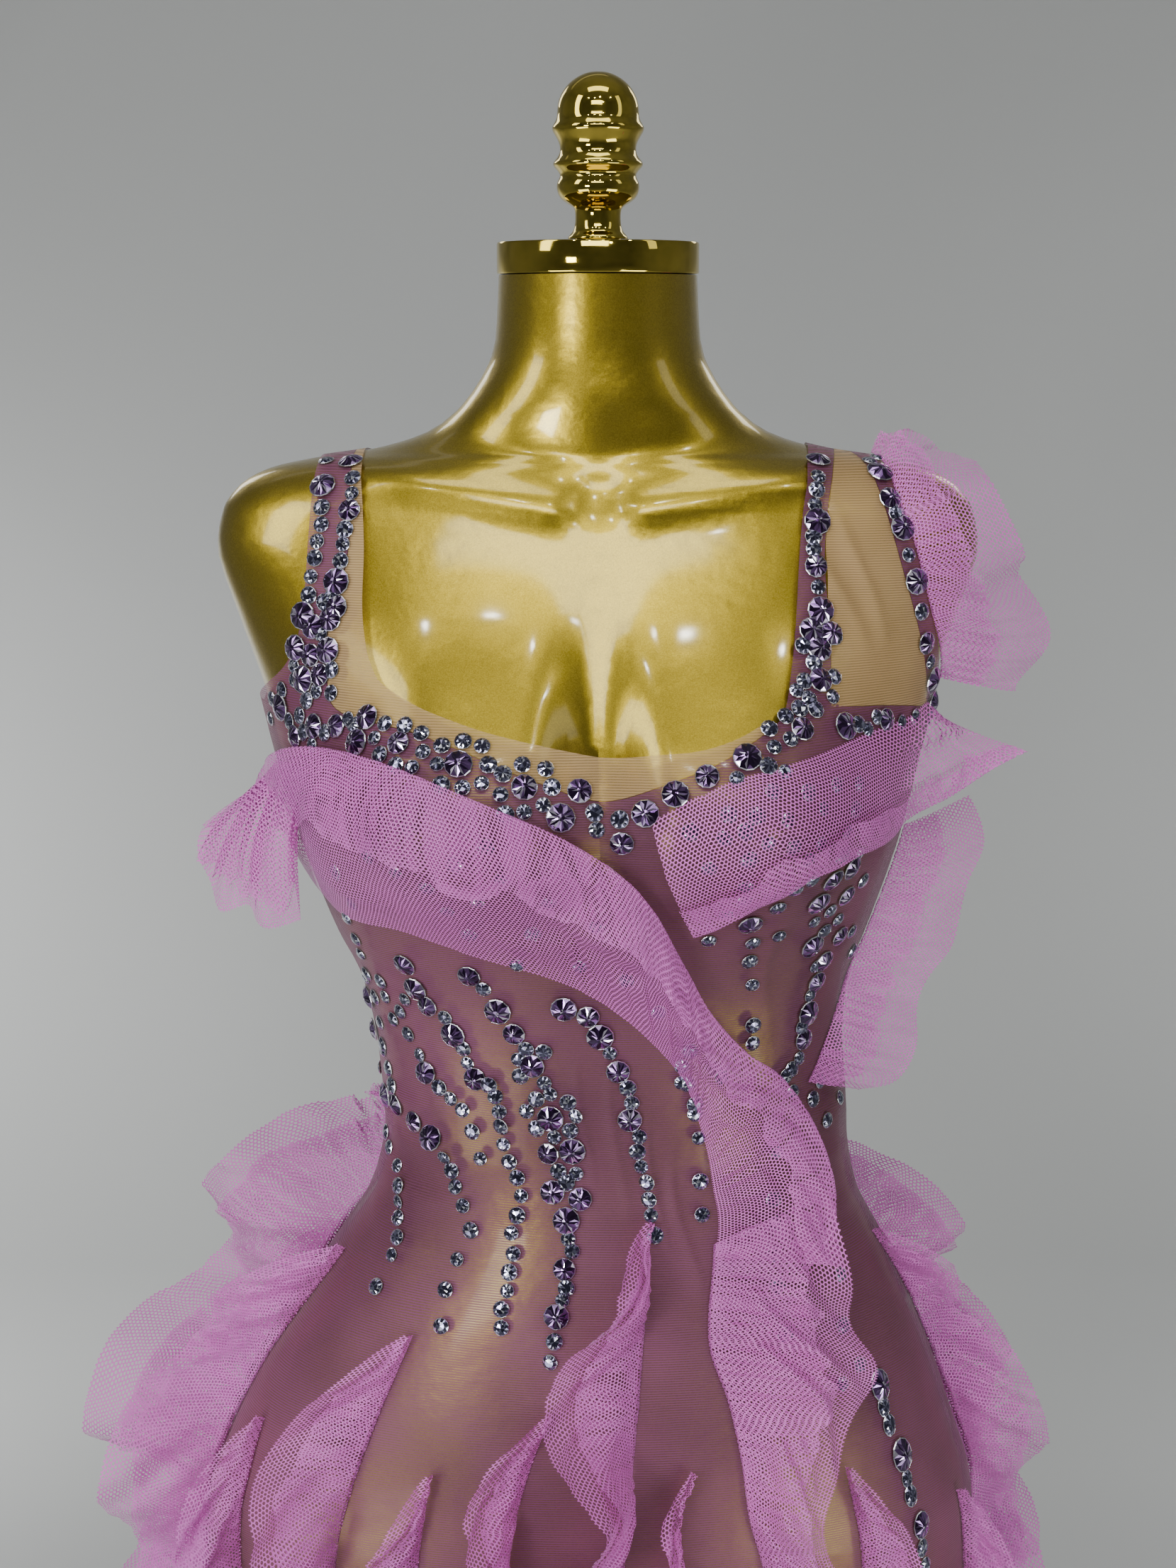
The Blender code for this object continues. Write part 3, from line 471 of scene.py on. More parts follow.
lilac_mesh = mesh_cloth("lilac_stretch_mesh", (0.165, 0.042, 0.095), (0.29, 0.088, 0.175), 0.33, 0.15)
nude_mesh = mesh_cloth("nude_stretch_mesh", (0.6, 0.38, 0.17), (0.7, 0.47, 0.23), 0.45, 0.15)


def crease_heights(points, creases):
    """How far each point rises, as soft ridges and troughs along the creases of a table."""
    angles = np.degrees(np.arctan2(points[:, 0], -points[:, 1]))
    rises = np.zeros(len(points))
    for crease in creases:
        middle = (crease.angle + crease.end_angle) / 2
        turned_angles = (angles - middle + 180) % 360 - 180 + middle
        across = np.radians(turned_angles - crease.angle) * HALF_GIRTH
        up = points[:, 2] / MM - crease.height
        turn = math.radians(crease.end_angle - crease.angle)
        run = np.array([turn * HALF_GIRTH, crease.end_height - crease.height])
        length = np.linalg.norm(run)
        along = (across * run[0] + up * run[1]) / length
        sway = crease.width * CREASE_SWAY * np.sin(along / length * CREASE_BENDS)
        aside = (up * run[0] - across * run[1]) / length + sway
        fade = np.clip(np.sin(np.clip(along / length, 0, 1) * math.pi), 0, 1) ** 0.8
        rises += CREASE_GAIN * crease.rise * fade * np.exp(-((aside / crease.width) ** 2))
    return rises


def panel(name, node, levels, creases, material):
    """The outer side of a packed panel as one fine layer, laid on the worn surface with its creases."""
    made = bpy.data.objects.new(name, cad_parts[node].data.copy())
    scene.collection.objects.link(made)
    mesh = bmesh.new()
    mesh.from_mesh(made.data)
    bmesh.ops.remove_doubles(mesh, verts=mesh.verts, dist=0.00002)
    unwanted = []
    for face in mesh.faces:
        normal = DRESS_SURFACE.find_nearest(face.calc_center_median())[1]
        if face.normal.dot(normal) < 0.5:
            unwanted.append(face)
    bmesh.ops.delete(mesh, geom=unwanted, context="FACES")
    bmesh.ops.join_triangles(mesh, faces=mesh.faces, angle_face_threshold=math.pi, angle_shape_threshold=math.pi)
    mesh.to_mesh(made.data)
    mesh.free()
    for layer in list(made.data.uv_layers):
        made.data.uv_layers.remove(layer)
    rounding = made.modifiers.new("fine", "SUBSURF")
    rounding.levels = rounding.render_levels = levels
    rounding.boundary_smooth = "PRESERVE_CORNERS"
    apply_modifiers(made)
    places = [DRESS_SURFACE.find_nearest(vert.co)[:2] for vert in made.data.vertices]
    rises = crease_heights(np.array([place for place, _ in places]), creases)
    for vert, (place, normal), rise in zip(made.data.vertices, places, rises):
        vert.co = place + normal * (CLOTH_THICKNESS + max(rise, DEEPEST) * MM)
    made.data.materials.clear()
    made.data.materials.append(material)
    for face in made.data.polygons:
        face.material_index = 0
    select_only(made)
    bpy.ops.mesh.customdata_custom_splitnormals_clear()
    bpy.ops.object.shade_smooth()
    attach(made, "root")
    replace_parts(made, node)
    return made


front = panel("front_panel", "dress_front", 3, FRONT_CREASES, lilac_mesh)
back = panel("back_panel", "dress_back", 3, BACK_CREASES, lilac_mesh)
band = panel("neck_band_nude", "neck_band", 2, BAND_CREASES, nude_mesh)
insert = panel("shoulder_insert_nude", "shoulder_insert", 3, INSERT_CREASES, nude_mesh)


def tree_of(pieces):
    """One search tree over the faces of some pieces."""
    points, faces = [], []
    for piece in pieces:
        first = len(points)
        points += [vert.co.copy() for vert in piece.data.vertices]
        faces += [tuple(first + k for k in face.vertices) for face in piece.data.polygons]
    return BVHTree.FromPolygons(points, faces)


CLOTH = tree_of([front, back, band, insert])

# The tulle: stiff net of fine hexagonal holes, dyed lilac. Every ruffle is cut double, folded at its free
# edge or where it is sewn, and gathered along the seam that holds it to the panels.
SEAT = 0.8 * MM
FREE_OFF = 6.0 * MM
NET_CELL = 2.1 * MM
EDGE_SWAY = 0.16
EDGE_STEP = 34
LIFT_STEP = 23


def net_group():
    """A net of hexagonal holes on the piece's own UV map in metres: 1 on a thread and 0 in a hole."""
    group, source = new_group("hexagonal_net", ["Thread"], ["Cover"])

    def vector(operation, *inputs):
        return add_node(group, "ShaderNodeVectorMath", dict(enumerate(inputs)), operation=operation)

    size = 1 / NET_CELL
    step, half = (1.0, math.sqrt(3), 1.0), (0.5, math.sqrt(3) / 2, 0.0)
    place = add_node(group, "ShaderNodeTexCoord").outputs["UV"]
    cells = vector("MULTIPLY_ADD", place, (size, size, 0), (4000, 4000, 0)).outputs[0]
    near = []
    for shift in ((0.0, 0.0, 0.0), half):
        inside = vector("MODULO", vector("SUBTRACT", cells, shift).outputs[0], step).outputs[0]
        near.append(vector("SUBTRACT", inside, half).outputs[0])
    first = calculated(group, "LESS_THAN", *[vector("LENGTH", one).outputs["Value"] for one in near])
    chosen = add_node(group, "ShaderNodeMix", {0: first, 4: near[1], 5: near[0]}, data_type="VECTOR")
    folded = vector("ABSOLUTE", chosen.outputs[1]).outputs[0]
    slant = vector("DOT_PRODUCT", folded, half).outputs["Value"]
    level = add_node(group, "ShaderNodeSeparateXYZ", {0: folded}).outputs["X"]
    edge = calculated(group, "SUBTRACT", 0.5, calculated(group, "MAXIMUM", slant, level))
    limit = calculated(group, "ADD", source.outputs["Thread"], 0.03)
    thread = add_node(group, "ShaderNodeMapRange", {"Value": edge, "From Min": source.outputs["Thread"],
                                                    "From Max": limit, "To Min": 1.0, "To Max": 0.0})
    add_node(group, "NodeGroupOutput", {"Cover": thread.outputs["Result"]})
    return group


NET = net_group()


def net_cloth(name, colour, thread, sheen):
    """Tulle of one dye; the share of thread is its alpha."""
    material, tree, shader = new_material(name, colour, 0, 0.55)
    net = add_node(tree, "ShaderNodeGroup", node_tree=NET)
    net.inputs["Thread"].default_value = thread
    tree.links.new(net.outputs["Cover"], shader.inputs["Alpha"])
    two_tones(tree, shader, [part * 0.86 for part in colour], colour, 18.0, 2.0)
    shader.inputs["Sheen Weight"].default_value = sheen
    shader.inputs["Sheen Roughness"].default_value = 0.35
    return material


lilac_tulle = net_cloth("lilac_tulle", (0.79, 0.2, 0.67), 0.14, 0.1)


def mix(first, second, share):
    return first + (second - first) * share


def around(angle, height):
    """A place on the worn surface, seen from the upright axis; millimetres, angle from the front."""
    turn = math.radians(angle)
    outward = Vector((math.sin(turn), -math.cos(turn), 0))
    return DRESS_SURFACE.ray_cast(Vector((0, 0, height * MM)), outward)[0]


def clear_of(point, least):
    """The point itself, or the nearest one that stands clear of the panels."""
    place, normal, _, _ = CLOTH.find_nearest(point)
    height = (point - place).dot(normal)
    if height >= least:
        return point
    return point + normal * (least - height)


def curve_through(points, count):
    """Evenly stepped places on a smooth line through the points."""
    points = [Vector(point) for point in points]
    places = []
    for k in range(count):
        at = k * (len(points) - 1) / (count - 1)
        i = min(int(at), len(points) - 2)
        u = at - i
        before, start, end, after = (points[max(i - 1, 0)], points[i], points[i + 1],
                                     points[min(i + 2, len(points) - 1)])
        places.append(0.5 * (2 * start + (end - before) * u
                             + (2 * before - 5 * start + 4 * end - after) * u ** 2
                             + (3 * start - before - 3 * end + after) * u ** 3))
    return places


def seated(points):
    """A sewn edge, laid on the panels."""
    return [clear_of(CLOTH.find_nearest(point)[0], SEAT) for point in points]


def uneven(along, seed):
    """A wave of uneven length and height, from -1 to 1."""
    return (0.55 * math.sin(along * 6.283 + 1.9 * math.sin(along * 1.31 + seed) + seed)
            + 0.3 * math.sin(along * 11.1 + seed * 2.7) + 0.15 * math.sin(along * 19.7 + seed * 1.3))


def folded_tulle(name, columns, gap, cover, fold):
    """Tulle cut double, folded at its free edge or where it is sewn, with a UV map in metres.

    Each column is a list of (point, outward direction), the free edge first. The second layer lies a gap
    outside the first and reaches over a share of the width, by the share of cover, to an uneven edge.
    """
    points = []
    for i, column in enumerate(columns):
        rows = len(column) - 1
        if fold == "free":
            column = column[::-1]
        points += [point for point, _ in column]
        reach = cover * (1 + EDGE_SWAY * uneven(i / EDGE_STEP, cover * 9))
        for k in range(1, rows + 1):
            at = rows * (1 - reach * k / rows)
            first = min(int(at), rows - 1)
            (start, outward), (end, _) = column[first], column[first + 1]
            part = k / rows
            lift = gap * (math.sin(math.pi * min(part, 0.8)) + (1.6 + uneven(i / LIFT_STEP, 2 + cover)) * part)
            points.append(clear_of(mix(start, end, at - first) + outward * lift, SEAT))
    rows = len(columns[0])
    tall = 2 * rows - 1
    faces = [(i * tall + j, (i + 1) * tall + j, (i + 1) * tall + j + 1, i * tall + j + 1)
             for i in range(len(columns) - 1) for j in range(tall - 1)]
    mesh = bpy.data.meshes.new(name)
    mesh.from_pydata([tuple(point) for point in points], [], faces)
    steps = np.array([tuple(point) for point in points]).reshape(len(columns), tall, 3)
    across = np.zeros((len(columns), tall))
    across[:, 1:] = np.cumsum(np.linalg.norm(np.diff(steps, axis=1), axis=2), axis=1)
    middle = np.linalg.norm(np.diff(steps, axis=0), axis=2).mean(axis=1)
    along = np.concatenate([[0], np.cumsum(middle)])
    layer = mesh.uv_layers.new(name="UVMap")
    for loop in mesh.loops:
        i, j = divmod(loop.vertex_index, tall)
        layer.data[loop.index].uv = (along[i], across[i, j])
    made = bpy.data.objects.new(name, mesh)
    scene.collection.objects.link(made)
    mesh.materials.append(lilac_tulle)
    select_only(made)
    bpy.ops.object.shade_smooth()
    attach(made, "root")
    return made


# The ruffles over the bodice: a wide sash from the left underarm across the bust to the waist, its tail down
# the skirt, a flap over the right bust and two frills at the right arm. Edges in millimetres, sewn one second.
Ruffle = namedtuple("Ruffle", "name node free sewn along across bulge ripple waves pleats depth slant long "
                              "cover fold tuck")
PUCKERS = 34
SASH_FREE = [
    (-179, -5, 1222), (-167, -30, 1240), (-151, -62, 1252), (-130, -95, 1257), (-109, -116, 1256),
    (-86, -132, 1251), (-65, -138, 1243), (-45, -140, 1235), (-23, -138, 1225), (-1, -134, 1212),
    (17, -129, 1197), (31, -117, 1175), (43, -105, 1150), (55, -98, 1126), (73, -91, 1104),
    (93, -83, 1087), (110, -74, 1061), (120, -69, 1029), (123, -76, 1003), (127, -80, 985),
]
SASH_SEWN = [
    (-192, 5, 1180), (-179, -15, 1161), (-158, -40, 1161), (-136, -55, 1159), (-106, -87, 1157),
    (-78, -96, 1150), (-51, -100, 1143), (-24, -103, 1136), (-3, -102, 1127), (16, -99, 1114),
    (32, -94, 1099), (42, -88, 1087), (47, -81, 1076), (51, -77, 1062), (55, -75, 1047),
    (57, -75, 1037), (59, -76, 1024), (61, -77, 1013), (61, -79, 1002), (59, -82, 992),
]
TAIL_FREE = [
    (119, -72, 1024), (128, -82, 979), (133, -90, 958), (139, -88, 937), (136, -96, 919), (124, -112, 893),
    (112, -124, 874), (118, -126, 850), (128, -124, 820), (118, -130, 785), (106, -134, 750), (118, -132, 715),
    (126, -126, 680), (118, -126, 652),
]
TAIL_SEWN = [
    (59, -81, 998), (58, -84, 985), (56, -90, 965), (57, -94, 945), (66, -98, 920), (73, -103, 890), (77, -106, 860),
    (84, -106, 833), (87, -106, 805), (86, -106, 775), (84, -106, 745), (86, -106, 715), (90, -104, 680),
    (92, -102, 652),
]
BUST_FREE = [
    (46, -112, 1167), (63, -116, 1176), (83, -119, 1186), (104, -118, 1198), (124, -99, 1204),
    (146, -67, 1208), (162, -57, 1218), (179, -50, 1226), (198, -44, 1235), (218, -38, 1245),
]
BUST_SEWN = [
    (24, -137, 1230), (43, -138, 1241), (61, -135, 1250), (84, -128, 1255), (107, -112, 1258),
    (132, -88, 1263), (157, -59, 1266), (175, -46, 1269), (193, -41, 1263), (214, -36, 1251),
]
SIDE_FREE = [
    (196, 5, 1214), (202, 0, 1189), (198, -5, 1167), (188, -5, 1142), (179, -10, 1124), (171, -15, 1102),
    (165, -20, 1082), (158, -26, 1066), (136, -44, 1068),
]
SIDE_SEWN = [
    (158, -20, 1204), (151, -22, 1184), (146, -23, 1169), (141, -24, 1156), (134, -26, 1138),
    (127, -29, 1118), (120, -36, 1100), (114, -43, 1085), (108, -49, 1074),
]
SHOULDER_FREE = [
    (150, 8, 1403), (172, 5, 1397), (185, -5, 1381), (195, -10, 1357), (216, -12, 1335), (229, -12, 1309),
    (227, -12, 1287), (216, -10, 1272),
]
SHOULDER_SEWN = [
    (139, -2, 1393), (143, -24, 1389), (148, -42, 1373), (156, -49, 1353), (161, -50, 1335),
    (166, -48, 1318), (171, -40, 1300), (177, -28, 1282),
]
END_FREE = [
    (-209, 2, 1196), (-208, -6, 1176), (-196, -18, 1158), (-182, -30, 1162), (-168, -42, 1154), (-150, -58, 1162),
]
END_SEWN = [
    (-184, -2, 1222), (-180, -14, 1230), (-173, -26, 1236), (-164, -38, 1240), (-152, -52, 1242), (-138, -66, 1241),
]
RUFFLES = [
    Ruffle("sash_end", "", END_FREE, END_SEWN, 130, 20, 6, 2, 3, 14, 4.5, 0.0, 0, 0.8, "sewn", 0),
    Ruffle("sash", "sash_ruffle", SASH_FREE, SASH_SEWN, 276, 34, 5, 1.5, 7, 38, 1.9, -0.3, 3.0, 0.42, "free", 0),
    Ruffle("sash_tail_ruffle", "sash_tail", TAIL_FREE, TAIL_SEWN, 240, 30, 9, 7, 5, 24, 4.6, -0.28, 3.2, 0.66,
           "sewn", 0.12),
    Ruffle("bust_flap", "bust_ruffle", BUST_FREE, BUST_SEWN, 140, 26, 4, 1.5, 3, 15, 1.5, -0.2, 2.6, 0.36, "free", 0),
    Ruffle("side_frill", "side_ruffle", SIDE_FREE, SIDE_SEWN, 140, 24, 3, 3, 3, 22, 3.0, 0.04, 0, 0.42, "sewn", 0),
    Ruffle("shoulder_frill", "shoulder_ruffle", SHOULDER_FREE, SHOULDER_SEWN, 140, 24, 5, 3, 3, 22, 3.0, 0.05, 0, 0.4,
           "sewn", 0),
]
for number, cut in enumerate(RUFFLES):
    free_line = curve_through([Vector(point) * MM for point in cut.free], cut.along + 1)
    sewn_line = seated(curve_through([Vector(point) * MM for point in cut.sewn], cut.along + 1))
    columns = []
    for k, (free, sewn) in enumerate(zip(free_line, sewn_line)):
        wave = cut.ripple * math.sin(2 * math.pi * cut.waves * k / cut.along)
        pucker = 1.5 * uneven(PUCKERS * k / cut.along, number)
        loose = soft_step(k / cut.along / cut.tuck) if cut.tuck else 1
        column = []
        for j in range(cut.across + 1):
            share = j / cut.across
            point = mix(free, sewn, share)
            outward = DRESS_SURFACE.find_nearest(point)[1]
            rise = (cut.bulge * math.sin(math.pi * share) + wave * (1 - share)) * loose
            pleat = cut.depth * uneven(cut.pleats * (k / cut.along + cut.slant * (1 - share)) / 3.3, number + 4)
            rise += pucker * math.sin(math.pi * share ** 3) + pleat * math.sin(math.pi * share ** 0.8) * loose
            rise += cut.long * uneven(share * 1.8 + 0.5 * k / cut.along, number + 7) * math.sin(math.pi * share)
            least = FREE_OFF * (1 - share ** 4) * (0.3 + 0.7 * loose) + SEAT
            column.append((sewn if j == cut.across else clear_of(point + outward * rise * MM, least), outward))
        columns.append(column)
    ruffle = folded_tulle(cut.name, columns, 1.6 * MM, cut.cover, cut.fold)
    if cut.node:
        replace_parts(ruffle, cut.node)

# The skirt's ruffles: strips of doubled tulle that start in a point and fall to the hem, each gathered along
# one side. The table has the sewn line by angle and height down to the hem, the side its free edge swings to,
# its width, where a fold starts and how far it stands up, in degrees.
Strip = namedtuple("Strip", "name tip middle end side width phase lean")
STRIP_END = 648
STRIPS = [
    Strip("front_a", (18, 1011), (8, 860), 0, -1, 58, 0.05, 46),
    Strip("front_b", (-50, 948), (-55, 845), -58, -1, 60, 0.3, 42),
    Strip("front_c", (-78, 974), (-83, 880), -83, -1, 60, 0.1, 56),
    Strip("front_d", (-74, 888), (-72, 815), -70, -1, 44, 0.6, 46),
    Strip("front_e", (-40, 882), (-41, 830), -44, -1, 46, 0.2, 46),
    Strip("front_f", (-13, 916), (-22, 843), -28, -1, 54, 0.62, 46),
    Strip("front_g", (24, 886), (19, 836), 15, -1, 36, 0.8, 56),
    Strip("front_h", (56, 879), (57, 823), 60, 1, 42, 0.4, 46),
    Strip("front_i", (77, 844), (78, 790), 76, 1, 40, 0.7, 50),
    Strip("side_a", (81, 982), (90, 880), 89, 1, 48, 0.2, 66),
    Strip("side_b", (96, 956), (99, 870), 102, 1, 52, 0.65, 70),
    Strip("side_c", (110, 1048), (113, 930), 116, 1, 70, 0.15, 72),
    Strip("side_d", (-107, 1052), (-102, 940), -99, -1, 84, 0.4, 72),
    Strip("back_a", (-122, 1000), (-120, 880), -118, -1, 56, 0.2, 64),
    Strip("back_b", (-138, 930), (-136, 840), -135, -1, 50, 0.6, 58),
    Strip("back_c", (-153, 985), (-153, 860), -152, -1, 52, 0.3, 60),
    Strip("back_d", (-169, 925), (-169, 840), -169, -1, 48, 0.8, 58),
    Strip("back_e", (174, 980), (174, 860), 173, -1, 50, 0.1, 60),
    Strip("back_f", (158, 930), (157, 840), 156, -1, 46, 0.5, 58),
]
FOLD_LENGTH = 118
LEAN_SWING = 27
CURL = 12
TIP_SHARE = 0.08
GROWN_SHARE = 0.96
GROWS_OVER = 45
PUCKER_STEP = 9
PUCKER_RISE = 1.3
PLEAT_STEP = 39
PLEAT_SLANT = 1.3
PLEAT_RISE = 4.6
CRIMP_STEP = 17
CRIMP_RISE = 1.4
STRIP_ALONG = 150
STRIP_ACROSS = 12


def strip_columns(strip, seed):
    """Columns of a strip whose free edge swings to and fro as it falls, narrow at the tip."""
    line = curve_through([(*strip.tip, 0), (*strip.middle, 0), (strip.end, STRIP_END, 0)], STRIP_ALONG + 1)
    seam = seated([around(angle, height) for angle, height, _ in line])
    columns = []
    for sewn in seam:
        fall = strip.tip[1] - sewn.z / MM
        _, outward, _, _ = DRESS_SURFACE.find_nearest(sewn)
        sideways = Vector((0, 0, 1)).cross(outward).normalized() * strip.side
        width = strip.width * (TIP_SHARE + GROWN_SHARE * (1 - math.exp(-fall / GROWS_OVER))) * MM
        swing = math.sin(2 * math.pi * (fall / FOLD_LENGTH + strip.phase))
        lean = math.radians(strip.lean + LEAN_SWING * swing * soft_step(fall / 50))
        pucker = PUCKER_RISE * uneven(fall / PUCKER_STEP, seed)
        column = []
        for j in range(STRIP_ACROSS, -1, -1):
            share = j / STRIP_ACROSS
            turn = lean + math.radians(CURL) * (1 - share) * swing
            point = sewn + (sideways * math.cos(turn) + outward * math.sin(turn)) * width * share
            face = (outward * math.cos(turn) - sideways * math.sin(turn)).normalized()
            pleat = PLEAT_RISE * uneven(fall / PLEAT_STEP - PLEAT_SLANT * share, seed + 1)
            pleat += CRIMP_RISE * uneven(fall / CRIMP_STEP - share, seed)
            rise = pleat * soft_step(fall / 40) * math.sin(math.pi * min(share * 0.75, 1))
            rise += pucker * math.sin(math.pi * min(share * 3, 1))
            point = point + face * rise * MM
            column.append((clear_of(point, FREE_OFF * min(1, share * 4)) if j else sewn, face))
        columns.append(column)
    return columns


for number, strip in enumerate(STRIPS):
    ruffle = folded_tulle("ruffle_" + strip.name, strip_columns(strip, number * 1.7), 2.2 * MM, 0.74, "sewn")
    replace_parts(ruffle, "skirt_" + strip.name)

# The stones: pointed glass crystals with silvered backs in thin silver settings, sewn on in trickling lines.
# Each row gives x and height on the front in millimetres; the large ones are violet, the small ones pale.
def crystal_glass(name, dark, middle, painted_glint_colour):
    """Painted glints: a random value on each facet paints it dark, violet or near white, and sets its roughness."""
    material, tree, shader = new_material(name, middle, 0.9, 0.05)
    facet = add_node(tree, "ShaderNodeAttribute", attribute_name="painted_glint")
    ramp = add_node(tree, "ShaderNodeValToRGB", {"Fac": facet.outputs["Fac"]})
    stops = [(0.0, dark), (0.52, dark), (0.66, middle), (0.86, middle), (0.93, painted_glint_colour)]
    for number, (stop, colour) in enumerate(stops):
        element = ramp.color_ramp.elements[number] if number < 2 else ramp.color_ramp.elements.new(stop)
        element.position, element.color = stop, (*colour, 1)
    tree.links.new(ramp.outputs["Color"], shader.inputs["Base Color"])
    spread = add_node(tree, "ShaderNodeMapRange", {"Value": facet.outputs["Fac"], "To Min": 0.02, "To Max": 0.14})
    tree.links.new(spread.outputs["Result"], shader.inputs["Roughness"])
    shader.inputs["Coat Weight"].default_value = 1.0
    shader.inputs["Coat Roughness"].default_value = 0.02
    return material


# The last, near-white colour of each stone is a painted glint.
violet_glass = crystal_glass("violet_crystal", (0.04, 0.012, 0.07), (0.26, 0.13, 0.38), (0.9, 0.82, 1.0))
pale_glass = crystal_glass("pale_crystal", (0.07, 0.065, 0.13), (0.3, 0.3, 0.46), (0.9, 0.92, 1.0))
silver, tree, shader = new_material("silver_setting", (0.66, 0.66, 0.7), 1.0, 0.18)
hazy_gloss(tree, shader, 220.0, 2.0, 0.0, 1.0, 0.1, 0.4)


def cut_stone(table, depth):
    """A round stone of unit width: a crown of star facets round a table, in a ring of wire."""
    bpy.ops.object.select_all(action="DESELECT")
    bpy.ops.mesh.primitive_cone_add(vertices=12, radius1=0.47, radius2=table, depth=depth, end_fill_type="NGON",
                                    location=(0, 0, 0.1 + depth / 2))
    stone = bpy.context.object
    bpy.ops.object.transform_apply(location=True, rotation=False, scale=False)

    def pick_faces(wanted):
        mesh = bmesh.from_edit_mesh(stone.data)
        for face in mesh.faces:
            face.select = wanted(face)
        bmesh.update_edit_mesh(stone.data)

    def cut_facets():
        pick_faces(lambda face: face.normal.z > 0.99)
        bpy.ops.mesh.poke(offset=0.02)
        pick_faces(lambda face: len(face.verts) == 4)
        bpy.ops.mesh.poke(offset=0.025)
        pick_faces(lambda face: face.normal.z < -0.9)
        bpy.ops.mesh.delete(type="FACE")

    object_mode(cut_facets)
    stone.data.materials.append(violet_glass)
    bpy.ops.object.select_all(action="DESELECT")
    bpy.ops.mesh.primitive_torus_add(major_segments=12, minor_segments=4, major_radius=0.47, minor_radius=0.03,
                                     location=(0, 0, 0.08))
    setting = bpy.context.object
    bpy.ops.object.transform_apply(location=True, rotation=False, scale=False)
    setting.data.materials.append(silver)
    stone.select_set(True)
    bpy.context.view_layer.objects.active = stone
    bpy.ops.object.join()
    points = np.array([tuple(vert.co) for vert in stone.data.vertices])
    faces = [(tuple(face.vertices), face.material_index) for face in stone.data.polygons]
    bpy.data.objects.remove(stone)
    return points, faces


LARGE_STONE = cut_stone(0.12, 0.17)
SMALL_STONE = cut_stone(0.26, 0.13)
LARGE_WIDTH = 13.0
SMALL_WIDTH = 8.4

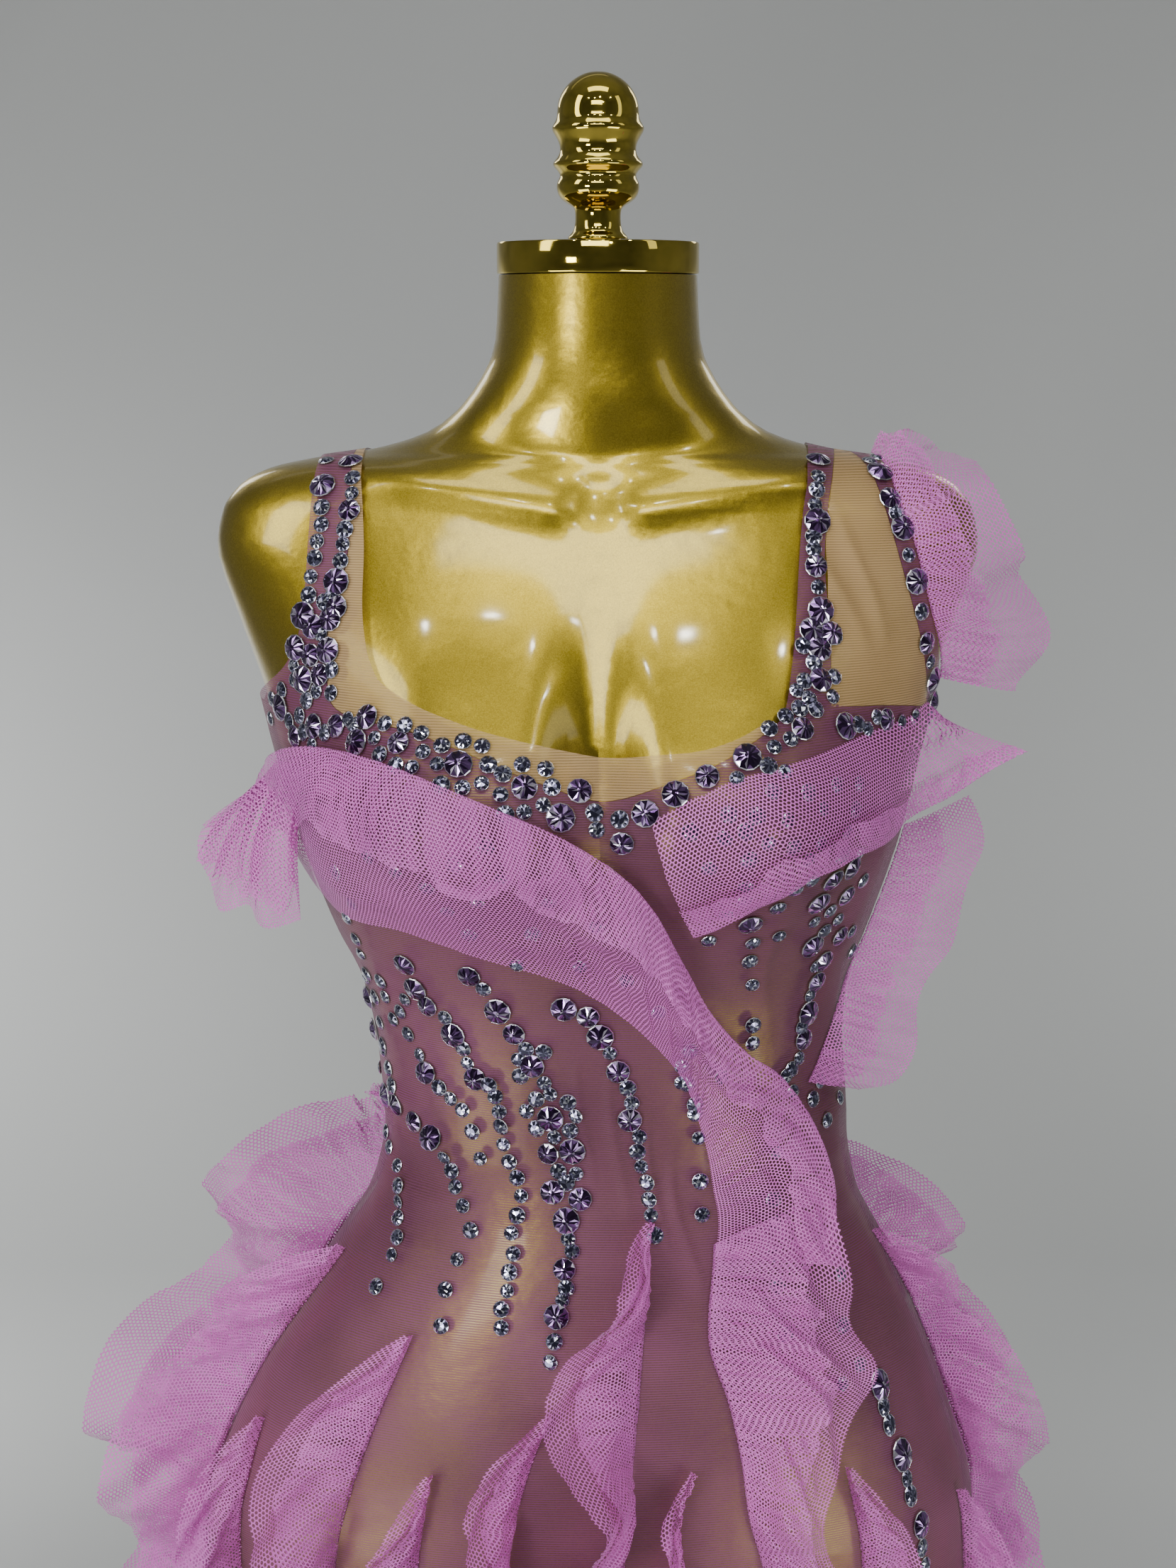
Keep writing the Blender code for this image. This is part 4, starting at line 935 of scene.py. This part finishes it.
Chain = namedtuple("Chain", "name large small stretch", defaults=[1.0])
CHAINS = [
    Chain("neckline", [
        (-111, 1272), (-116, 1260), (-95, 1262), (-66, 1254), (-35, 1244), (-9, 1242), (-18, 1230), (11, 1218),
        (22, 1232), (36, 1241), (51, 1249), (70, 1257), (97, 1268), (107, 1289), (119, 1267), (141, 1267),
        (169, 1269), (-139, 1264), (-127, 1266), (-158, 1270), (-150, 1257),
    ], [
        (-102, 1270), (-92, 1270), (-107, 1263), (-104, 1256), (-84, 1267), (-83, 1259), (-96, 1252), (-88, 1252),
        (-74, 1262), (-64, 1264), (-76, 1254), (-74, 1245), (-64, 1244), (-55, 1262), (-52, 1254), (-55, 1246),
        (-45, 1250), (-36, 1254), (-46, 1241), (-44, 1232), (-35, 1233), (-25, 1252), (-22, 1244), (-26, 1236),
        (-2, 1232), (-1, 1224), (9, 1238), (10, 1229), (65, 1248), (81, 1269), (89, 1274), (83, 1261), (80, 1253),
        (131, 1264), (150, 1264), (-147, 1268), (-144, 1276), (-133, 1262), (-140, 1255), (-121, 1270),
        (-153, 1264), (-165, 1262), (-163, 1273), (-157, 1279), (-150, 1285), (-145, 1260), (-118, 1268),
        (91, 1264), (104, 1276), (113, 1281), (99, 1289), (101, 1281), (95, 1285), (96, 1277), (89, 1281),
        (114, 1290), (158, 1265), (168, 1260), (126, 1267), (136, 1269),
    ]),
    Chain("left_strap", [
        (-123, 1390), (-136, 1379), (-122, 1368), (-128, 1334), (-140, 1312), (-131, 1316), (-145, 1317),
        (-141, 1298), (-149, 1301), (-132, 1301), (-136, 1289), (-145, 1286), (-128, 1322),
    ], [
        (-136, 1390), (-121, 1383), (-121, 1376), (-136, 1369), (-136, 1361), (-138, 1353), (-124, 1359),
        (-125, 1352), (-126, 1344), (-139, 1345), (-141, 1336), (-142, 1327), (-130, 1328), (-136, 1309),
        (-134, 1324), (-150, 1292), (-130, 1292), (-130, 1281), (-138, 1281), (-143, 1276),
    ]),
    Chain("right_shoulder", [
        (109, 1391), (107, 1363), (106, 1342), (108, 1321), (107, 1303), (113, 1310), (140, 1385), (144, 1373),
        (150, 1359), (157, 1333), (163, 1302), (168, 1282), (113, 1297), (103, 1312),
    ], [
        (108, 1384), (107, 1378), (106, 1371), (105, 1356), (105, 1350), (107, 1332), (104, 1297), (109, 1290),
        (141, 1391), (147, 1366), (153, 1346), (160, 1318), (166, 1292), (136, 1390), (99, 1305),
    ]),
    Chain("bodice_left", [
        (-97, 1142), (-92, 1128), (-86, 1119), (-73, 1105), (-62, 1082), (-64, 1140), (-50, 1121), (-42, 1109),
        (-119, 1112), (-105, 1057), (-95, 1051), (-86, 1045), (-88, 1081), (-117, 1092), (-111, 1058),
    ], [
        (-77, 1114), (-68, 1098), (-66, 1090), (-55, 1080), (-52, 1074), (-50, 1066), (-49, 1058), (-48, 1048),
        (-45, 1039), (-41, 1031), (-39, 1022), (-41, 1012), (-44, 1003), (-43, 993), (-45, 984), (-46, 975),
        (-49, 966), (-49, 957), (-120, 1124), (-111, 1127), (-109, 1118), (-105, 1106), (-97, 1100), (-79, 1037),
        (-75, 1030), (-73, 1022), (-69, 1014), (-65, 1002), (-72, 987), (-78, 972), (-80, 955), (-91, 1090),
        (-81, 1074), (-75, 1069), (-69, 1064), (-64, 1053), (-60, 1039), (-112, 1035), (-110, 1029), (-105, 1023),
        (-104, 1015), (-104, 1007), (-104, 999), (-104, 991), (-107, 982), (-115, 966), (-113, 1100),
        (-112, 1084), (-109, 1075), (-116, 1066), (-107, 1066), (-101, 1112), (-98, 1120),
    ]),
    Chain("bodice_middle", [
        (-33, 1092), (-24, 1064), (-25, 1045), (-13, 1047), (-23, 1025), (-9, 1022), (-16, 1011), (-17, 987),
        (-21, 964), (-17, 1124), (-5, 1120), (1, 1109), (10, 1090), (16, 1064),
    ], [
        (-57, 1133), (-31, 1074), (-24, 1077), (-15, 1073), (-36, 1067), (-11, 1066), (-31, 1058), (-22, 1054),
        (-14, 1058), (-20, 1036), (-11, 1035), (-16, 1030), (-15, 1002), (-13, 996), (-16, 978), (-18, 972),
        (-22, 952), (-24, 942), (-27, 1083), (-39, 1086), (-40, 1095), (-36, 1101), (-27, 1100), (6, 1100),
        (15, 1081), (17, 1073), (21, 1055), (20, 1047), (22, 1039), (25, 1031), (26, 1022), (27, 1014), (29, 1004),
        (42, 1092), (45, 1082), (49, 1071), (51, 1053), (52, 1030), (53, 1013),
    ]),
    Chain("bodice_right", [
        (74, 1171), (108, 1179), (122, 1154), (107, 1152), (114, 1141), (111, 1129), (107, 1112), (123, 1179),
        (124, 1196), (114, 1192), (105, 1098),
    ], [
        (76, 1159), (75, 1148), (77, 1134), (78, 1111), (78, 1101), (54, 1162), (87, 1180), (89, 1162), (103, 1195),
        (115, 1172), (107, 1167), (113, 1160), (120, 1165), (108, 1122), (104, 1105), (103, 1088), (99, 1083),
        (96, 1080), (115, 1072), (111, 1064), (127, 1058), (119, 1051), (117, 1205), (128, 1203), (132, 1185),
        (129, 1154), (110, 1139), (131, 1140), (100, 1071), (95, 1190), (70, 1186), (62, 1178),
    ]),
    Chain("hip", [(147, 914), (159, 876), (170, 837)], [
        (149, 903), (152, 893), (162, 863), (164, 854), (171, 824), (173, 813),
    ], 1.35),
    Chain("under_tulle", [], [
        (61, 1232), (69, 1224), (59, 1221), (74, 1231), (82, 1242), (89, 1228), (99, 1240), (107, 1231),
        (114, 1241), (92, 1215), (106, 1214), (71, 1210), (70, 1195), (52, 1206), (114, 1192), (120, 1217),
        (43, 1224), (100, 1207), (80, 1218), (124, 1227), (88, 1250), (126, 1239), (119, 1204), (-58, 1185),
        (-68, 1208), (-46, 1200), (-24, 1186), (-53, 1217), (-90, 1223), (-82, 1193), (-32, 1167), (-9, 1148),
        (-1, 1171), (-73, 1179), (-97, 1200), (-63, 1165), (-40, 1148), (-111, 1206), (-123, 1173), (14, 1140),
        (-130, 1190), (30, 1122), (46, 1100), (62, 1085), (92, 1040), (90, 1016), (91, 1004), (90, 989),
        (92, 974), (126, 972), (127, 948), (136, 927), (126, 920), (96, 950), (42, 1083), (49, 1066),
        (-119, 1128), (-121, 1141), (-115, 1115), (-123, 1150), (-127, 1162), (-112, 1087), (-108, 1067),
    ]),
]


def stones_of(chain):
    """One mesh of a chain's stones, each standing on the cloth, with a random painted glint for every facet."""
    points, faces, kinds, glints = [], [], [], []
    for rows, width, kind in ((chain.large, LARGE_WIDTH, 0), (chain.small, SMALL_WIDTH, 1)):
        shape, facets = (LARGE_STONE, SMALL_STONE)[kind]
        for number, (x, height) in enumerate(rows):
            hit = CLOTH.ray_cast(Vector((x * MM, -1, height * MM)), Vector((0, 1, 0)))
            if hit[0] is None:
                hit = CLOTH.find_nearest(Vector((x * MM, 0, height * MM)))
            size = width * (1 + 0.1 * math.sin(number * 2.4)) * MM
            spin = number * 0.7 if chain.stretch == 1 else 0
            turn = hit[1].to_track_quat("Z", "Y").to_matrix() @ Matrix.Rotation(spin, 3, "Z")
            first = len(points)
            stretched = shape * (1, chain.stretch, 1)
            points += list(stretched @ np.array(turn).T * size + np.array(hit[0] + hit[1] * 0.3 * MM))
            for place, (corners, part) in enumerate(facets):
                faces.append(tuple(first + k for k in corners))
                kinds.append(2 if part == 1 else kind)
                # Each facet's random value paints its glint in the stone's material.
                glints.append(math.sin(number * 12.99 + place * 78.23 + height) * 43758.5 % 1)
    mesh = bpy.data.meshes.new("crystals_" + chain.name)
    mesh.from_pydata(points, [], faces)
    for material in (violet_glass, pale_glass, silver):
        mesh.materials.append(material)
    mesh.polygons.foreach_set("material_index", kinds)
    mesh.attributes.new("painted_glint", "FLOAT", "FACE").data.foreach_set("value", glints)
    made = bpy.data.objects.new("crystals_" + chain.name, mesh)
    scene.collection.objects.link(made)
    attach(made, "root")
    return made


for chain in CHAINS:
    stones_of(chain)
